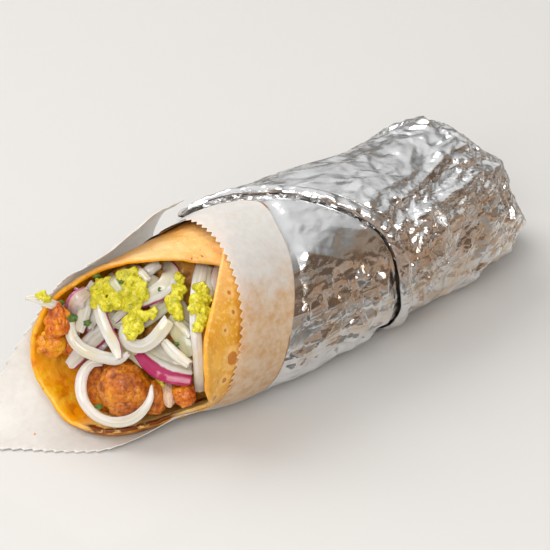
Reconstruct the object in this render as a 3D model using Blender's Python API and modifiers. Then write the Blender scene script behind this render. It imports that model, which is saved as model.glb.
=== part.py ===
"""Kati roll: a round of flatbread rolled round kebab, onion and green chutney, wrapped in paper and foil.

The roll lies along X on a flat table, its open mouth towards -X and its crushed foil tail towards +X.
The origin is on the table under the roll's axis. Sizes are in millimetres and angles in degrees,
and every mesh is scaled to metres as it is made. An angle round the roll is 0 on the far side (+Y),
90 on top, 180 on the near side (-Y) and 270 underneath.
"""

import math

import bmesh
import bpy
from mathutils import Vector, noise

MM = 0.001
CLEARANCE = 0.35

# The roll
AXIS_HEIGHT = 34.4
REAR_TAPER = 0.085
TAPER_START = 20.0
TAPER_END = 92.0
BREAD_RADIUS = 33.0
BREAD_WALL = 2.3
BREAD_LAYER_GAP = 0.5
BREAD_START_ANGLE = 125.0
BREAD_TURN = 405.0
BREAD_REAR = 88.0
BREAD_FLOOR = 1.7
BREAD_CELLS = (10, 56)
BREAD_RIM_CROWDING = 1.25
BREAD_SWAY = 0.5
PRESS = 0.8
LIP_TUCK = 4.5
LIP_TUCK_ANGLE = -125.0
LIP_TUCK_SPREAD = 24.0
LIP_TUCK_PLACES = (-66, -30)

# How the wrappings bridge the step at the bread's outer edge: how far round they look, in which steps,
# and how fast they come down again on either side, in millimetres per square degree
STEP_REACH = 21
STEP_PITCH = 3
STEP_EASE = 0.006
WRAP_GAP = 1.5 * CLEARANCE

# The bread's rim at the mouth, as angle and place along the roll, from the edge tucked in at the top,
# down the far side, under the roll and up the near flap
BREAD_RIM = (
    (125, -34), (115, -38.5), (107, -44), (98, -49), (90, -54), (80, -59), (68, -62.5), (57, -67),
    (30, -80), (0, -89.5), (-45, -91), (-80, -87), (-97, -80), (-118, -63), (-134, -54), (-148, -57),
    (-168, -63.5), (-185, -65), (-200, -63), (-210, -59), (-222, -52), (-236, -43), (-250, -33),
    (-280, -20),
)

# The wrapping paper: its edges, as the distance round the roll from the line it rests on
# (towards the far side is positive) and the place along the roll
PAPER_THICKNESS = 0.35
PAPER_RADIUS = 37.2
PAPER_NEAR_EDGE = -130
PAPER_FAR_EDGE = 103
PAPER_CELLS = (7, 46)
PAPER_FRONT = (
    (-130, -33), (-120, -33), (-107, -35), (-90, -40), (-72, -46), (-55, -51), (-44, -52), (-34, -53.5),
    (-26, -60), (-18, -72), (-9, -86), (0, -96), (15, -109), (33, -122), (45, -108), (56, -95),
    (66, -87), (80, -82), (103, -76),
)
PAPER_REAR = (
    (-130, -24), (-124, -14), (-119, -6), (-113, -3), (-101, -7), (-90, -10), (-72, -17), (-57, -22),
    (-40, -24), (0, -26), (103, -26),
)
PAPER_SEAM = 69.0
PAPER_CUFF_START = 50.0
PAPER_CUFF_GAP = 1.2
PAPER_CUFF_FLARE = 5.0
PAPER_CUFF_PLACES = (-80, -35)
# In front of the roll the paper lies flat on the table, and its far corner curls up a little
PAPER_FLAT_PLACES = (-112, -84)
PAPER_CURL = 0.0012
PAPER_CURL_START = 15
# Where the paper steps up on to the foil
PAPER_STEP_PLACES = (-52, -42)
PAPER_LEAST_PLACE = -64

# The foil: a smooth tube, a crumpled outer layer over its rear, and a tail crushed flat
FOIL_THICKNESS = 0.8
FOIL_FRONT_SETBACK = 14.0
# The foil lies on the paper in front, and comes down to the table this far behind the paper's edge
FOIL_ON_PAPER = PAPER_THICKNESS + 1.4 * CLEARANCE
FOIL_DOWN_PLACES = (2, 10)
FOIL_LINING_FLOOR = BREAD_FLOOR - 1.4 * CLEARANCE
CAP_THICKNESS = 1.5
CAP_EDGE = (
    (-90, 45), (-30, 22), (0, 4), (30, -10), (55, -24), (70, -19), (80, -9), (90, 0), (100, 9), (114, 17),
    (129, 25), (145, 32), (160, 35), (181, 36), (200, 40), (235, 45), (270, 45),
)
CAP_STEP = 1.5
CRUMPLE_DEPTH = 1.1
CRUMPLE_ALONG = 0.11
CRUMPLE_AROUND = 3.6
CRUMPLE_FINER = 2.3
CRUMPLE_LARGE_SHARE = 1.6
CRUMPLE_RISE = 14
SMOOTH_FOIL_SHARE = 0.15
FOIL_LAST_ROUND = BREAD_REAR + 14
FOIL_LINING_REAR = BREAD_REAR + 2
FOIL_TAIL = 146.0
FOIL_TIP = 1.0
FOIL_SIDES = 44
FOIL_OUTER_STEPS = 30
FOIL_LINING_STEPS = 7
# Sections of the closing end: place along the roll, centre across and above the table, half width
# and half height
FOIL_END = (
    (102, 0, 32.6, 33.4, 32.4), (112, 0.5, 31.6, 32, 31.4), (120, 1.5, 29.8, 29.5, 29.6),
    (127, 2.5, 27, 25.5, 26.8), (133, 3, 24, 21, 23.8), (138, 3, 20.5, 16.5, 20.3),
    (142, 3, 16.5, 12, 16.3), (145, 3, 12.5, 7.5, 12),
)
# Flat sides pressed into the closing end: the way each faces, and its distance from the origin
FOIL_FLATS = (
    ((0.673, -0.191, 0.715), 116.2), ((0.742, -0.566, 0.359), 114.2), ((0.300, 0.620, 0.725), 84.8),
    ((0.860, 0.420, 0.290), 131.0), ((0.520, -0.779, 0.350), 94.5), ((0.120, -0.550, 0.826), 72.8),
    ((0.350, -0.900, -0.260), 59.5),
)

# The filling seen in the mouth. Its pieces are placed in the mouth's own frame, which faces up and out:
# right, up and out of the mouth plane, from a point on the roll's axis
MOUTH_CENTRE = Vector((-75.0, 0.0, 34.0))
MOUTH_AZIMUTH = -45.0
MOUTH_ELEVATION = 30.3
MOUTH_SLANT = 0.40
MOUTH_TILT = 0.05
SLIDE_STEP = 0.25
SLIDE_STEPS = 120
FILLING_RADIUS = BREAD_RADIUS - BREAD_WALL
CORE_RADIUS = 29.8
CORE_SIDES = 28
CORE_SETBACK = 17.0
CORE_MIDDLE = -60.0
CORE_FRONT_SHARES = (0.45, 0.8)
CORE_FRONT_CURVE = 1.4
CORE_BUMP = 1.4
CORE_BUMP_PITCH = 0.14
CORE_REAR = BREAD_REAR - 2
CORE_FLOOR = BREAD_FLOOR + BREAD_WALL + 1.6
ONION_THICKNESS = 1.9
ONION_CROWN = 0.35
ONION_UNDERSIDE = 0.7
KEBAB_FINE_RADIUS = 8.0
CHUTNEY_FINE_RADIUS = 3.15
CHUTNEY_FLATNESS = 0.8
# Gap kept between a piece's edge and the bread's inside
ONION_GAP = 1.6
MEAT_GAP = 1.0
CHUTNEY_GAP = 0.8
# Uneven surfaces: height as a share of the size, and how many lumps to the radius
MEAT_LUMPS = (0.10, 2.2)
CHUTNEY_LUMPS = (0.12, 1.7)

# Onion slices: route of right, up, out; widths along it; lean about the route, in degrees
ONIONS = {
    "onion_over_lip": (
        ((-35.5, 21.3, 9.6), (-31.8, 21.2, 9.0), (-26.9, 19.4, 7.6), (-21.8, 17.6, 1)),
        (1.6, 3.2, 3.4, 3.2),
        0,
    ),
    "onion_petal_left": (
        ((-12.2, 22.9, -5.5), (-16.0, 20.2, -4.8), (-18.1, 16.4, -4.4), (-19.3, 13.1, -4), (-19.0, 8, -4)),
        (3.6, 5.2, 5.8, 5.6, 4.2),
        0,
    ),
    "onion_strip_white": (
        ((-10.6, 26.4, 2.2), (-12.5, 22.2, 2.6), (-13.9, 16.4, 1.8), (-15.4, 9.6, 0.4)),
        (3.4, 3.8, 3.8, 3.0),
        0,
    ),
    "onion_sliver": (
        ((-10.3, 20.6, -4.4), (-10.2, 15.6, -4.4), (-11.8, 11.2, -4.2)),
        (2.0, 2.8, 1.6),
        0,
    ),
    "onion_strip_pink": (
        ((-8.4, 20.0, 0.4), (-6.4, 13.1, 0.4), (-4.1, 8.2, 0.8), (-1.6, 3.9, 1.9), (-0.2, 0.9, 2.5)),
        (3.6, 4.0, 4.2, 4.2, 3.0),
        0,
    ),
    "onion_arc_left": (
        ((-19.0, 12.6, 1.2), (-18.6, 7.1, 1.2), (-15.3, 3.0, 0.8), (-10.5, 0.5, 0.2), (-5.6, -0.8, -0.2),
         (-0.7, -1.1, -0.2), (3.4, 0.4, 0.2)),
        (3.2, 4.2, 4.5, 4.5, 4.5, 4.4, 2.4),
        0,
    ),
    "onion_petal_low": (
        ((-2.2, 12.6, -6.8), (-7.5, 8.2, -6.8), (-12.7, 3.4, -6.8), (-16.8, -1.1, -6.4), (-19.6, -4.0, -6)),
        (4.0, 6.0, 6.2, 6.0, 5.2),
        0,
    ),
    "onion_ring_front": (
        ((-6.8, -3.2, -5), (-11.2, -3.6, -4), (-14.2, -6.6, -3), (-15.3, -11.2, -2.4), (-14.6, -16.1, -2),
         (-12.2, -20.2, -1.6), (-8.4, -23.3, -1.2), (-3.8, -25.0, -1), (0.8, -25.0, -1), (5.2, -23.5, -1),
         (9.0, -20.2, -1.4), (11.3, -16.1, -2), (11.9, -12.0, -2.6)),
        (2.4, 3.8, 4.1, 4.2, 4.2, 4.2, 4.1, 4.1, 4.0, 3.8, 3.5, 2.8, 1.2),
        0,
    ),
    "onion_arc_middle": (
        ((2.6, 12.6, -2.4), (1.7, 7.9, -2.2), (4.0, 3.9, -2.0), (8.2, 3.4, -1.8), (12.3, 5.6, -1.2),
         (15.7, 9.3, -1.2), (18.4, 13.2, -2.2)),
        (4.2, 5.0, 5.2, 5.2, 5.2, 5.2, 4.8),
        0,
    ),
    "onion_wedge_purple": (
        ((7.8, 1.6, -6.2), (11.4, -2.0, -6.2), (16.2, -5.2, -6.2), (21.7, -7.0, -6.8), (26.6, -7.8, -8.4)),
        (6.0, 7.2, 7.6, 7.4, 6.6),
        -22,
    ),
    "onion_strip_short": (
        ((16.8, 4.7, -3.4), (19.4, 1.9, -2.2), (22.8, -0.9, -1.8), (26.4, -3.2, -2.2)),
        (3.2, 3.6, 3.6, 3.2),
        0,
    ),
    "onion_strip_hanging": (
        ((31, 34.8, -18), (29.9, 29.9, -12), (28.8, 22.4, -5), (28.4, 11.2, 0.4), (29.2, 1.9, 0.4),
         (29.6, -6, -2.6), (29.6, -13.5, -8.5)),
        (4.2, 4.8, 4.4, 3.8, 3.7, 3.7, 3.6),
        0,
    ),
    "onion_wide_right": (
        ((18.4, 13.6, -8.6), (22.4, 9.2, -8.2), (25.6, 5.2, -8.2), (27.6, 0.8, -8.6)),
        (4.8, 6.6, 6.6, 5.0),
        0,
    ),
    "onion_strip_thin": (
        ((21.2, 12.2, -5.8), (23.6, 10.2, -5.6), (26.2, 7.4, -5.4)),
        (2.2, 2.5, 2.2),
        0,
    ),
    "onion_petal_top": (
        ((17.2, 34.2, -7.5), (19.2, 29.6, -6.5), (16.8, 25.0, -5.4), (11.4, 22.0, -4.4), (6.0, 19.4, -3.9),
         (1.4, 16.6, -3.7), (-1.8, 13.2, -3.7)),
        (3.0, 4.6, 6.2, 6.2, 4.6, 3.4, 2.4),
        0,
    ),
    "onion_strip_behind": (
        ((20.6, 20.4, -9.0), (16.4, 17.6, -8.2), (12.3, 14.4, -7.6), (9.0, 11.4, -7.4)),
        (2.8, 3.2, 3.2, 2.4),
        0,
    ),
    "onion_strip_roof": (
        ((7.6, 28.6, -8.6), (11.2, 31.8, -9.2), (14.4, 33.8, -10)),
        (3.0, 3.6, 2.8),
        0,
    ),
    "onion_bit_right": (
        ((36.2, 33.2, -11), (35.2, 28.8, -8), (35.2, 23.6, -4)),
        (2.2, 3.0, 2.4),
        0,
    ),
}

# Meat pieces: right, up, out of the middle, then half sizes right, up and out
MEATS = {
    "kebab_front": ((1.2, -12.8, -7.0), (10.0, 10.4, 9.4)),
    "kebab_behind": ((-6.5, -10.5, -16.0), (7.6, 9.6, 6.0)),
    "kebab_right": ((12.6, -15.8, -13.5), (4.0, 6.6, 5.0)),
    "chicken_left_upper": ((-24.2, 12.6, -5.0), (3.6, 4.2, 2.6)),
    "chicken_left_lower": ((-27.0, 3.4, -3.4), (3.9, 3.4, 2.1)),
    "chicken_left_inner": ((-20.2, 5.0, -8.6), (3.0, 3.8, 2.4)),
    "chicken_right": ((24.4, -14.8, -11.5), (3.4, 3.7, 3.2)),
    "chicken_right_pale": ((18.9, -15.2, -12.0), (1.7, 3.6, 2.6)),
}

# Dollops of chutney: lobes of right, up, out and radius
CHUTNEYS = {
    "chutney_left": (
        (-8.2, 22.8, 1.2, 3.9), (-3.7, 26.2, 0.4, 3.6), (0.9, 29.3, -1.6, 3.2), (5.2, 30.6, -3.4, 2.8),
        (-1.2, 20.6, 0.2, 3.9), (3.4, 23.6, -0.6, 3.6), (3.4, 18.6, -0.8, 3.0), (8.2, 22.6, -1.6, 3.2),
    ),
    "chutney_drip": (
        (4.9, 13.2, -0.2, 2.6), (3.7, 10.1, 0.6, 2.7), (4.6, 7.3, 0.8, 2.2), (8.8, 14.6, -1.4, 2.6),
        (12.0, 15.6, -2.6, 2.2),
    ),
    "chutney_middle": (
        (21.8, 28.2, -10, 3.4), (20.9, 24.8, -8.2, 2.9), (21.2, 21.3, -6.6, 3.0), (20.3, 17.9, -5.4, 3.2),
        (22.8, 17.0, -5.4, 2.4), (21.8, 14.8, -3.8, 2.2),
    ),
    "chutney_right": (
        (30.1, 24.3, -3.0, 3.5), (29.2, 20.2, 0.4, 3.5), (29.5, 16.1, 1.6, 3.5), (30.8, 12.7, 2.2, 2.9),
        (29.3, 10.6, 2.4, 2.3),
    ),
    "chutney_tip": (
        (-29.2, 22.3, 9.2, 2.0), (-27.4, 21.2, 8.2, 1.7),
    ),
    "chutney_low": (
        (15.6, -12.6, -13.5, 2.5), (15.4, -9.6, -13.5, 2.2),
    ),
}
# The slice and the dollop on its tip that stick out over the lip, past the bread's inside
OVER_THE_LIP = ("onion_over_lip", "chutney_tip")

COLOURS = {
    "bread": ((0.80, 0.52, 0.20), 0.55, 0.0),
    "paper": ((0.86, 0.84, 0.80), 0.6, 0.0),
    "foil": ((0.62, 0.63, 0.65), 0.3, 1.0),
    "filling": ((0.42, 0.17, 0.05), 0.5, 0.0),
    "onion": ((0.84, 0.78, 0.70), 0.35, 0.0),
    "onion_purple": ((0.56, 0.10, 0.24), 0.35, 0.0),
    "kebab": ((0.47, 0.17, 0.05), 0.45, 0.0),
    "chicken": ((0.72, 0.24, 0.03), 0.4, 0.0),
    "chutney": ((0.58, 0.60, 0.05), 0.35, 0.0),
}


def radians_point(angle, radius):
    """Across and above the roll's axis, at an angle and a radius."""
    turn = math.radians(angle)
    return radius * math.cos(turn), radius * math.sin(turn)


def axis_height(place):
    """Height of the roll's axis. The roll is a little thinner towards its tail."""
    return AXIS_HEIGHT * thinning(place)


def thinning(place):
    return 1 - REAR_TAPER * smooth(TAPER_START, TAPER_END, place)


def smooth(low, high, value):
    """0 below low, 1 above high, and a smooth rise between."""
    t = min(1.0, max(0.0, (value - low) / (high - low)))
    return t * t * (3 - 2 * t)


def along(table, place):
    """Reads a table of (place, value) rows with a smooth curve through them."""
    rows = sorted(table)
    if place <= rows[0][0]:
        return rows[0][1]
    if place >= rows[-1][0]:
        return rows[-1][1]
    last = max(i for i, row in enumerate(rows[:-1]) if row[0] <= place)
    x0, x1 = rows[last][0], rows[last + 1][0]
    values = [rows[min(max(last + step, 0), len(rows) - 1)][1] for step in (-1, 0, 1, 2)]
    places = [rows[min(max(last + step, 0), len(rows) - 1)][0] for step in (-1, 0, 1, 2)]
    slopes = []
    for before, after in ((0, 2), (1, 3)):
        run = places[after] - places[before]
        slopes.append((values[after] - values[before]) / run if run else 0.0)
    t = (place - x0) / (x1 - x0)
    span = x1 - x0
    return (
        (2 * t**3 - 3 * t**2 + 1) * values[1]
        + (t**3 - 2 * t**2 + t) * span * slopes[0]
        + (3 * t**2 - 2 * t**3) * values[2]
        + (t**3 - t**2) * span * slopes[1]
    )


def rest_on(height, floor, soften=3.0):
    """Height above the table, laid flat with a soft bend where it would go under floor."""
    over = height - floor
    if over >= soften:
        return height
    if over <= -soften:
        return floor
    return floor + (over + soften) ** 2 / (4 * soften)


def clear_scene():
    for thing in list(bpy.data.objects):
        bpy.data.objects.remove(thing)


def material(name):
    """A plain finish in the piece's own colour."""
    found = bpy.data.materials.get(name)
    if found:
        return found
    colour, roughness, metallic = COLOURS[name]
    made = bpy.data.materials.new(name)
    made.use_nodes = True
    shader = made.node_tree.nodes["Principled BSDF"]
    shader.inputs["Base Color"].default_value = (*colour, 1)
    shader.inputs["Roughness"].default_value = roughness
    shader.inputs["Metallic"].default_value = metallic
    return made


def new_collection(name, helper=False):
    made = bpy.data.collections.new(name)
    made.hide_render = helper
    bpy.context.scene.collection.children.link(made)
    return made


def add_object(name, shape, finish, collection):
    """An object from a bmesh in millimetres, scaled to metres."""
    bmesh.ops.scale(shape, vec=(MM, MM, MM), verts=shape.verts)
    mesh = bpy.data.meshes.new(name)
    shape.to_mesh(mesh)
    shape.free()
    mesh.materials.append(material(finish))
    mesh.shade_smooth()
    made = bpy.data.objects.new(name, mesh)
    if collection.hide_render:
        made.hide_render = True
        made.display_type = "WIRE"
    collection.objects.link(made)
    return made


def mapped_grid(columns, rows, place):
    """A flat grid of that many cells, each point moved to place(share along, share across)."""
    shape = bmesh.new()
    bmesh.ops.create_grid(shape, x_segments=columns, y_segments=rows, size=0.5)
    for point in shape.verts:
        point.co = place(point.co.x + 0.5, point.co.y + 0.5)
    return shape


def solidify(piece, thickness):
    """Gives an open surface its wall, on the side its faces turn away from."""
    wall = piece.modifiers.new("wall", "SOLIDIFY")
    wall.thickness = thickness * MM
    wall.offset = -1
    wall.use_even_offset = True


def turn_outward(shape):
    """Turns an open surface's faces away from the roll's axis."""
    lean = 0.0
    for face in shape.faces:
        middle = face.calc_center_median()
        lean += face.normal.dot(Vector((0, middle.y, middle.z - AXIS_HEIGHT)))
    if lean < 0:
        bmesh.ops.reverse_faces(shape, faces=shape.faces)


# Bread


def bread_radius(unrolled, place):
    """Outer radius of the bread, by the angle unrolled from its start and the place along the roll."""
    angle = BREAD_START_ANGLE - unrolled
    radius = BREAD_RADIUS + (BREAD_WALL + BREAD_LAYER_GAP) * unrolled / 360
    tuck = math.exp(-(((angle - LIP_TUCK_ANGLE) / LIP_TUCK_SPREAD) ** 2))
    tuck *= 1 - smooth(*LIP_TUCK_PLACES, place)
    sway = BREAD_SWAY * math.sin(math.radians(2 * angle + 3 * place))
    return (radius - LIP_TUCK * tuck + sway) * thinning(place)


def bread_point(unrolled, place):
    angle = BREAD_START_ANGLE - unrolled
    across, above = radians_point(angle, bread_radius(unrolled, place))
    return Vector((place, across, rest_on(axis_height(place) + above, BREAD_FLOOR)))


def make_bread(collection):
    """One round of flatbread, rolled with its near flap over its far edge at the top."""

    def place(share_along, share_across):
        unrolled = BREAD_TURN * share_across
        rim = along(BREAD_RIM, BREAD_START_ANGLE - unrolled)
        return bread_point(unrolled, rim + (BREAD_REAR - rim) * share_along**BREAD_RIM_CROWDING)

    shape = mapped_grid(*BREAD_CELLS, place)
    shape.normal_update()
    turn_outward(shape)
    piece = add_object("paratha", shape, "bread", collection)
    solidify(piece, BREAD_WALL)
    return piece


def bread_outside(angle, place):
    """Radius that clears the outermost bread layer at an angle and a little to both sides of it."""
    found = 0.0
    for shift in range(-STEP_REACH, STEP_REACH + 1, STEP_PITCH):
        unrolled = (BREAD_START_ANGLE - angle - shift) % 360
        if unrolled + 360 <= BREAD_TURN:
            unrolled += 360
        found = max(found, bread_radius(unrolled, place) - STEP_EASE * shift**2)
    return found + WRAP_GAP


# Paper


def paper_point(round_roll, place):
    """A point on the paper's outer face, by the distance round the roll and the place along it."""
    hug = smooth(*PAPER_FLAT_PLACES, place)
    angle = -90 + math.degrees(round_roll / PAPER_RADIUS)
    over_foil = (FOIL_THICKNESS + CLEARANCE) * smooth(*PAPER_STEP_PLACES, place)
    radius = bread_outside(angle, max(place, PAPER_LEAST_PLACE)) + over_foil + PAPER_THICKNESS
    cuff = smooth(PAPER_CUFF_START, PAPER_FAR_EDGE, round_roll)
    radius += cuff * (PAPER_CUFF_GAP + PAPER_CUFF_FLARE * smooth(*PAPER_CUFF_PLACES, place))
    across, above = radians_point(angle, radius)
    hugging = Vector((place, across, rest_on(AXIS_HEIGHT + above, 0.0, PRESS)))
    lift = PAPER_CURL * max(0.0, round_roll - PAPER_CURL_START) ** 2
    flat = Vector((place, round_roll, lift))
    return flat.lerp(hugging, hug)


def make_paper(collection):
    """The wrapping paper: a band round the near flap, a corner flat on the table and a loose cuff behind."""

    def place(share_along, share_across):
        round_roll = PAPER_NEAR_EDGE + (PAPER_FAR_EDGE - PAPER_NEAR_EDGE) * share_across
        front = along(PAPER_FRONT, round_roll)
        rear = along(PAPER_REAR, round_roll)
        return paper_point(round_roll, front + (rear - front) * share_along)

    shape = mapped_grid(*PAPER_CELLS, place)
    shape.normal_update()
    turn_outward(shape)
    piece = add_object("paper_wrap", shape, "paper", collection)
    solidify(piece, PAPER_THICKNESS)
    return piece


# Foil


def cap_edge(angle):
    return along(CAP_EDGE, (angle + 90) % 360 - 90)


def paper_rear(angle):
    """Where the paper band ends, by the angle round the roll."""
    below = (angle - PAPER_SEAM) % 360 + PAPER_SEAM - 270
    return along(PAPER_REAR, math.radians(below) * PAPER_RADIUS)


def crumple(angle, place):
    """Relief of crushed foil, about -1 to 1, the same all round."""
    turn = math.radians(angle)
    spot = Vector((place * CRUMPLE_ALONG, CRUMPLE_AROUND * math.cos(turn), CRUMPLE_AROUND * math.sin(turn)))
    return CRUMPLE_LARGE_SHARE * noise.noise(spot) + abs(noise.noise(spot * CRUMPLE_FINER))


def press_flats(point):
    """Presses a point of the closing end in to its flat sides."""
    for facing, reach in FOIL_FLATS:
        over = point.dot(Vector(facing)) - reach
        point = point - Vector(facing) * max(0.0, over)
    return point


def foil_point(angle, place):
    """A point on the foil's outer face."""
    body = min(place, FOIL_LAST_ROUND)
    behind_edge = body - cap_edge(angle)
    behind_paper = body - paper_rear(angle)
    least = bread_outside(angle, min(body, BREAD_REAR)) + FOIL_THICKNESS
    capped = smooth(-CAP_STEP, CAP_STEP, behind_edge)
    crushed = SMOOTH_FOIL_SHARE + (1 - SMOOTH_FOIL_SHARE) * smooth(0, CRUMPLE_RISE, behind_edge)
    crushed *= smooth(FOIL_DOWN_PLACES[0], CRUMPLE_RISE, behind_paper)
    relief = CRUMPLE_DEPTH * crushed * crumple(angle, place)
    radius = max(least, least + CAP_THICKNESS * capped + relief)
    floor = FOIL_ON_PAPER * (1 - smooth(*FOIL_DOWN_PLACES, place - paper_rear(angle)))
    across, above = radians_point(angle, radius)
    if place <= FOIL_LAST_ROUND:
        return Vector((place, across, rest_on(axis_height(place) + above, floor, PRESS)))
    rows = [[(row[0], row[column]) for row in FOIL_END] for column in (1, 2, 3, 4)]
    middle_across, middle_above, half_width, half_height = (along(row, place) for row in rows)
    across, above = radians_point(angle, 1 + relief / least)
    height = rest_on(middle_above + half_height * above, floor, PRESS)
    return press_flats(Vector((place, middle_across + half_width * across, height)))


def foil_lining_point(angle, place):
    """A point on the foil's inner face, just clear of the bread."""
    across, above = radians_point(angle, bread_outside(angle, min(place, BREAD_REAR)))
    return Vector((place, across, rest_on(axis_height(place) + above, FOIL_LINING_FLOOR)))


def foil_front(angle):
    """Where the foil starts, hidden under the paper band."""
    return paper_rear(angle) - FOIL_FRONT_SETBACK


def close_loft(rings, first, last):
    """Skins a row of closed rings and closes both ends on a point."""
    shape = bmesh.new()
    rows = [[shape.verts.new(point) for point in ring] for ring in rings]
    count = len(rows[0])
    for near, far in zip(rows, rows[1:]):
        for i in range(count):
            shape.faces.new((near[i], near[(i + 1) % count], far[(i + 1) % count], far[i]))
    for row, tip in ((rows[0], first), (rows[-1], last)):
        middle = shape.verts.new(tip)
        for i in range(count):
            shape.faces.new((row[i], row[(i + 1) % count], middle))
    bmesh.ops.recalc_face_normals(shape, faces=shape.faces)
    return shape


def make_foil(collection):
    """One sheet of foil: tube, crumpled cap and crushed tail outside, and a lining round the bread inside."""
    angles = [360 * step / FOIL_SIDES for step in range(FOIL_SIDES)]
    fronts = [foil_front(angle) for angle in angles]
    rings = []
    for step in range(FOIL_OUTER_STEPS + 1):
        share = step / FOIL_OUTER_STEPS
        places = [FOIL_TAIL + (front - FOIL_TAIL) * share for front in fronts]
        rings.append([foil_point(angle, place) for angle, place in zip(angles, places)])
    for step in range(FOIL_LINING_STEPS + 1):
        share = step / FOIL_LINING_STEPS
        places = [front + (FOIL_LINING_REAR - front) * share for front in fronts]
        rings.append([foil_lining_point(angle, place) for angle, place in zip(angles, places)])
    tip = sum(rings[0], Vector()) / len(angles) + Vector((FOIL_TIP, 0, 0))
    floor = sum(rings[-1], Vector()) / len(angles)
    return add_object("foil_wrap", close_loft(rings, tip, floor), "foil", collection)


# Filling


def mouth_axes():
    """Right, up and out of the mouth, as directions."""
    turn, rise = math.radians(MOUTH_AZIMUTH), math.radians(MOUTH_ELEVATION)
    right = Vector((math.cos(turn), math.sin(turn), 0))
    out = Vector((math.sin(turn) * math.cos(rise), -math.cos(turn) * math.cos(rise), math.sin(rise)))
    return right, out.cross(right), out


RIGHT, UP, OUT = mouth_axes()


def from_axis(point):
    return math.hypot(point.y, point.z - AXIS_HEIGHT)


def in_mouth(right, up, out, keep=None):
    """A point of the mouth's frame. With keep, it slides along out until it is that near the roll's axis."""
    depth = out + MOUTH_SLANT * right + MOUTH_TILT * up
    point = MOUTH_CENTRE + RIGHT * right + UP * up + OUT * depth
    if keep is None or from_axis(point) <= keep:
        return point
    steps = (point - OUT * (SLIDE_STEP * step) for step in range(-SLIDE_STEPS, SLIDE_STEPS))
    return min(steps, key=lambda spot: max(from_axis(spot) - keep, 0) * 1000 + (point - spot).length)


def smooth_route(points, steps):
    """Evenly many points on a smooth curve through the given ones."""
    rows = [list(zip(range(len(points)), [point[axis] for point in points])) for axis in range(3)]
    last = len(points) - 1
    return [Vector([along(row, last * step / steps) for row in rows]) for step in range(steps + 1)]


def onion_slice(name, route, widths, lean, collection, swell=0.0):
    """A slice of onion: a box drawn along its route, crowned across, with rounded ends."""
    outside = name.removeprefix("room_") in OVER_THE_LIP
    keep = None if outside else FILLING_RADIUS - max(widths) / 2 - ONION_GAP
    spots = [in_mouth(*point, keep=keep) for point in route]
    steps = 2 * (len(route) - 1) + 2
    line = smooth_route(spots, steps)
    shape = bmesh.new()
    bmesh.ops.create_cube(shape, size=1)
    lengthwise = [e for e in shape.edges if abs(e.verts[0].co.x - e.verts[1].co.x) > 0.5]
    bmesh.ops.subdivide_edges(shape, edges=lengthwise, cuts=steps - 1)
    crosswise = [e for e in shape.edges if abs(e.verts[0].co.y - e.verts[1].co.y) > 0.5]
    bmesh.ops.subdivide_edges(shape, edges=crosswise, cuts=1)
    last = len(widths) - 1
    for point in shape.verts:
        share = point.co.x + 0.5
        step = min(steps, max(0, round(share * steps)))
        ahead = (line[min(step + 1, steps)] - line[max(step - 1, 0)]).normalized()
        across = OUT.cross(ahead).normalized()
        out = ahead.cross(across)
        turn = math.radians(lean)
        tilted = across * math.cos(turn) + out * math.sin(turn)
        out = out * math.cos(turn) - across * math.sin(turn)
        width = along(list(zip(range(last + 1), widths)), last * share) + 2 * swell
        crown = ONION_CROWN * (1 - abs(2 * point.co.y))
        thickness = (0.5 + crown) * (ONION_THICKNESS + 2 * swell)
        thickness *= 1 if point.co.z > 0 else -ONION_UNDERSIDE
        end = -1 if step == 0 else 1 if step == steps else 0
        point.co = line[step] + tilted * (width * point.co.y) + out * thickness + ahead * (swell * end)
    finish = "onion_purple" if "purple" in name else "onion"
    return add_object(name, shape, finish, collection)


def uneven(direction, centre, height, pitch):
    """Share of its size that a lumpy piece reaches in a direction."""
    return 1 + height * noise.noise(direction * pitch + centre)


def meat_chunk(name, middle, half_sizes, collection, swell=0.0):
    """A chunk of meat: a ball stretched to size, with a lumpy surface."""
    keep = FILLING_RADIUS - MEAT_GAP - max(half_sizes[:2])
    centre = in_mouth(*middle, keep=keep)
    shape = bmesh.new()
    fine = 3 if max(half_sizes) > KEBAB_FINE_RADIUS else 2
    bmesh.ops.create_icosphere(shape, subdivisions=fine, radius=1)
    for point in shape.verts:
        lump = uneven(point.co, centre, *MEAT_LUMPS)
        x, y, z = (point.co[axis] * (half_sizes[axis] * lump + swell) for axis in range(3))
        point.co = centre + RIGHT * x + UP * y + OUT * z
    return add_object(name, shape, "kebab" if "kebab" in name else "chicken", collection)


def chutney_dollop(name, lobes, collection):
    """A dollop of chutney: flattened lobes joined into one."""
    balls = new_collection(name + "_lobes", helper=True)
    shapes = []
    for i, (right, up, out, radius) in enumerate(lobes):
        keep = None if name in OVER_THE_LIP else FILLING_RADIUS - CHUTNEY_GAP - 0.9 * radius
        centre = in_mouth(right, up, out, keep=keep)
        shape = bmesh.new()
        fine = 2 if radius > CHUTNEY_FINE_RADIUS else 1
        bmesh.ops.create_icosphere(shape, subdivisions=fine, radius=1)
        for point in shape.verts:
            lump = uneven(point.co, centre, *CHUTNEY_LUMPS)
            x, y, z = (point.co[axis] * radius * lump for axis in range(3))
            point.co = centre + RIGHT * x + UP * y + OUT * (CHUTNEY_FLATNESS * z)
        if i == 0:
            shapes.append(add_object(name, shape, "chutney", collection))
        else:
            shapes.append(add_object(f"{name}_lobe_{i}", shape, "chutney", balls))
    join = shapes[0].modifiers.new("join", "BOOLEAN")
    join.operation = "UNION"
    join.operand_type = "COLLECTION"
    join.collection = balls
    return shapes[0]


def make_room(piece, cutters):
    """Cuts a piece back from its swollen neighbours, so that it lies on them with a small gap."""
    cut = piece.modifiers.new("room", "BOOLEAN")
    cut.operation = "DIFFERENCE"
    cut.operand_type = "COLLECTION"
    cut.collection = cutters


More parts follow.
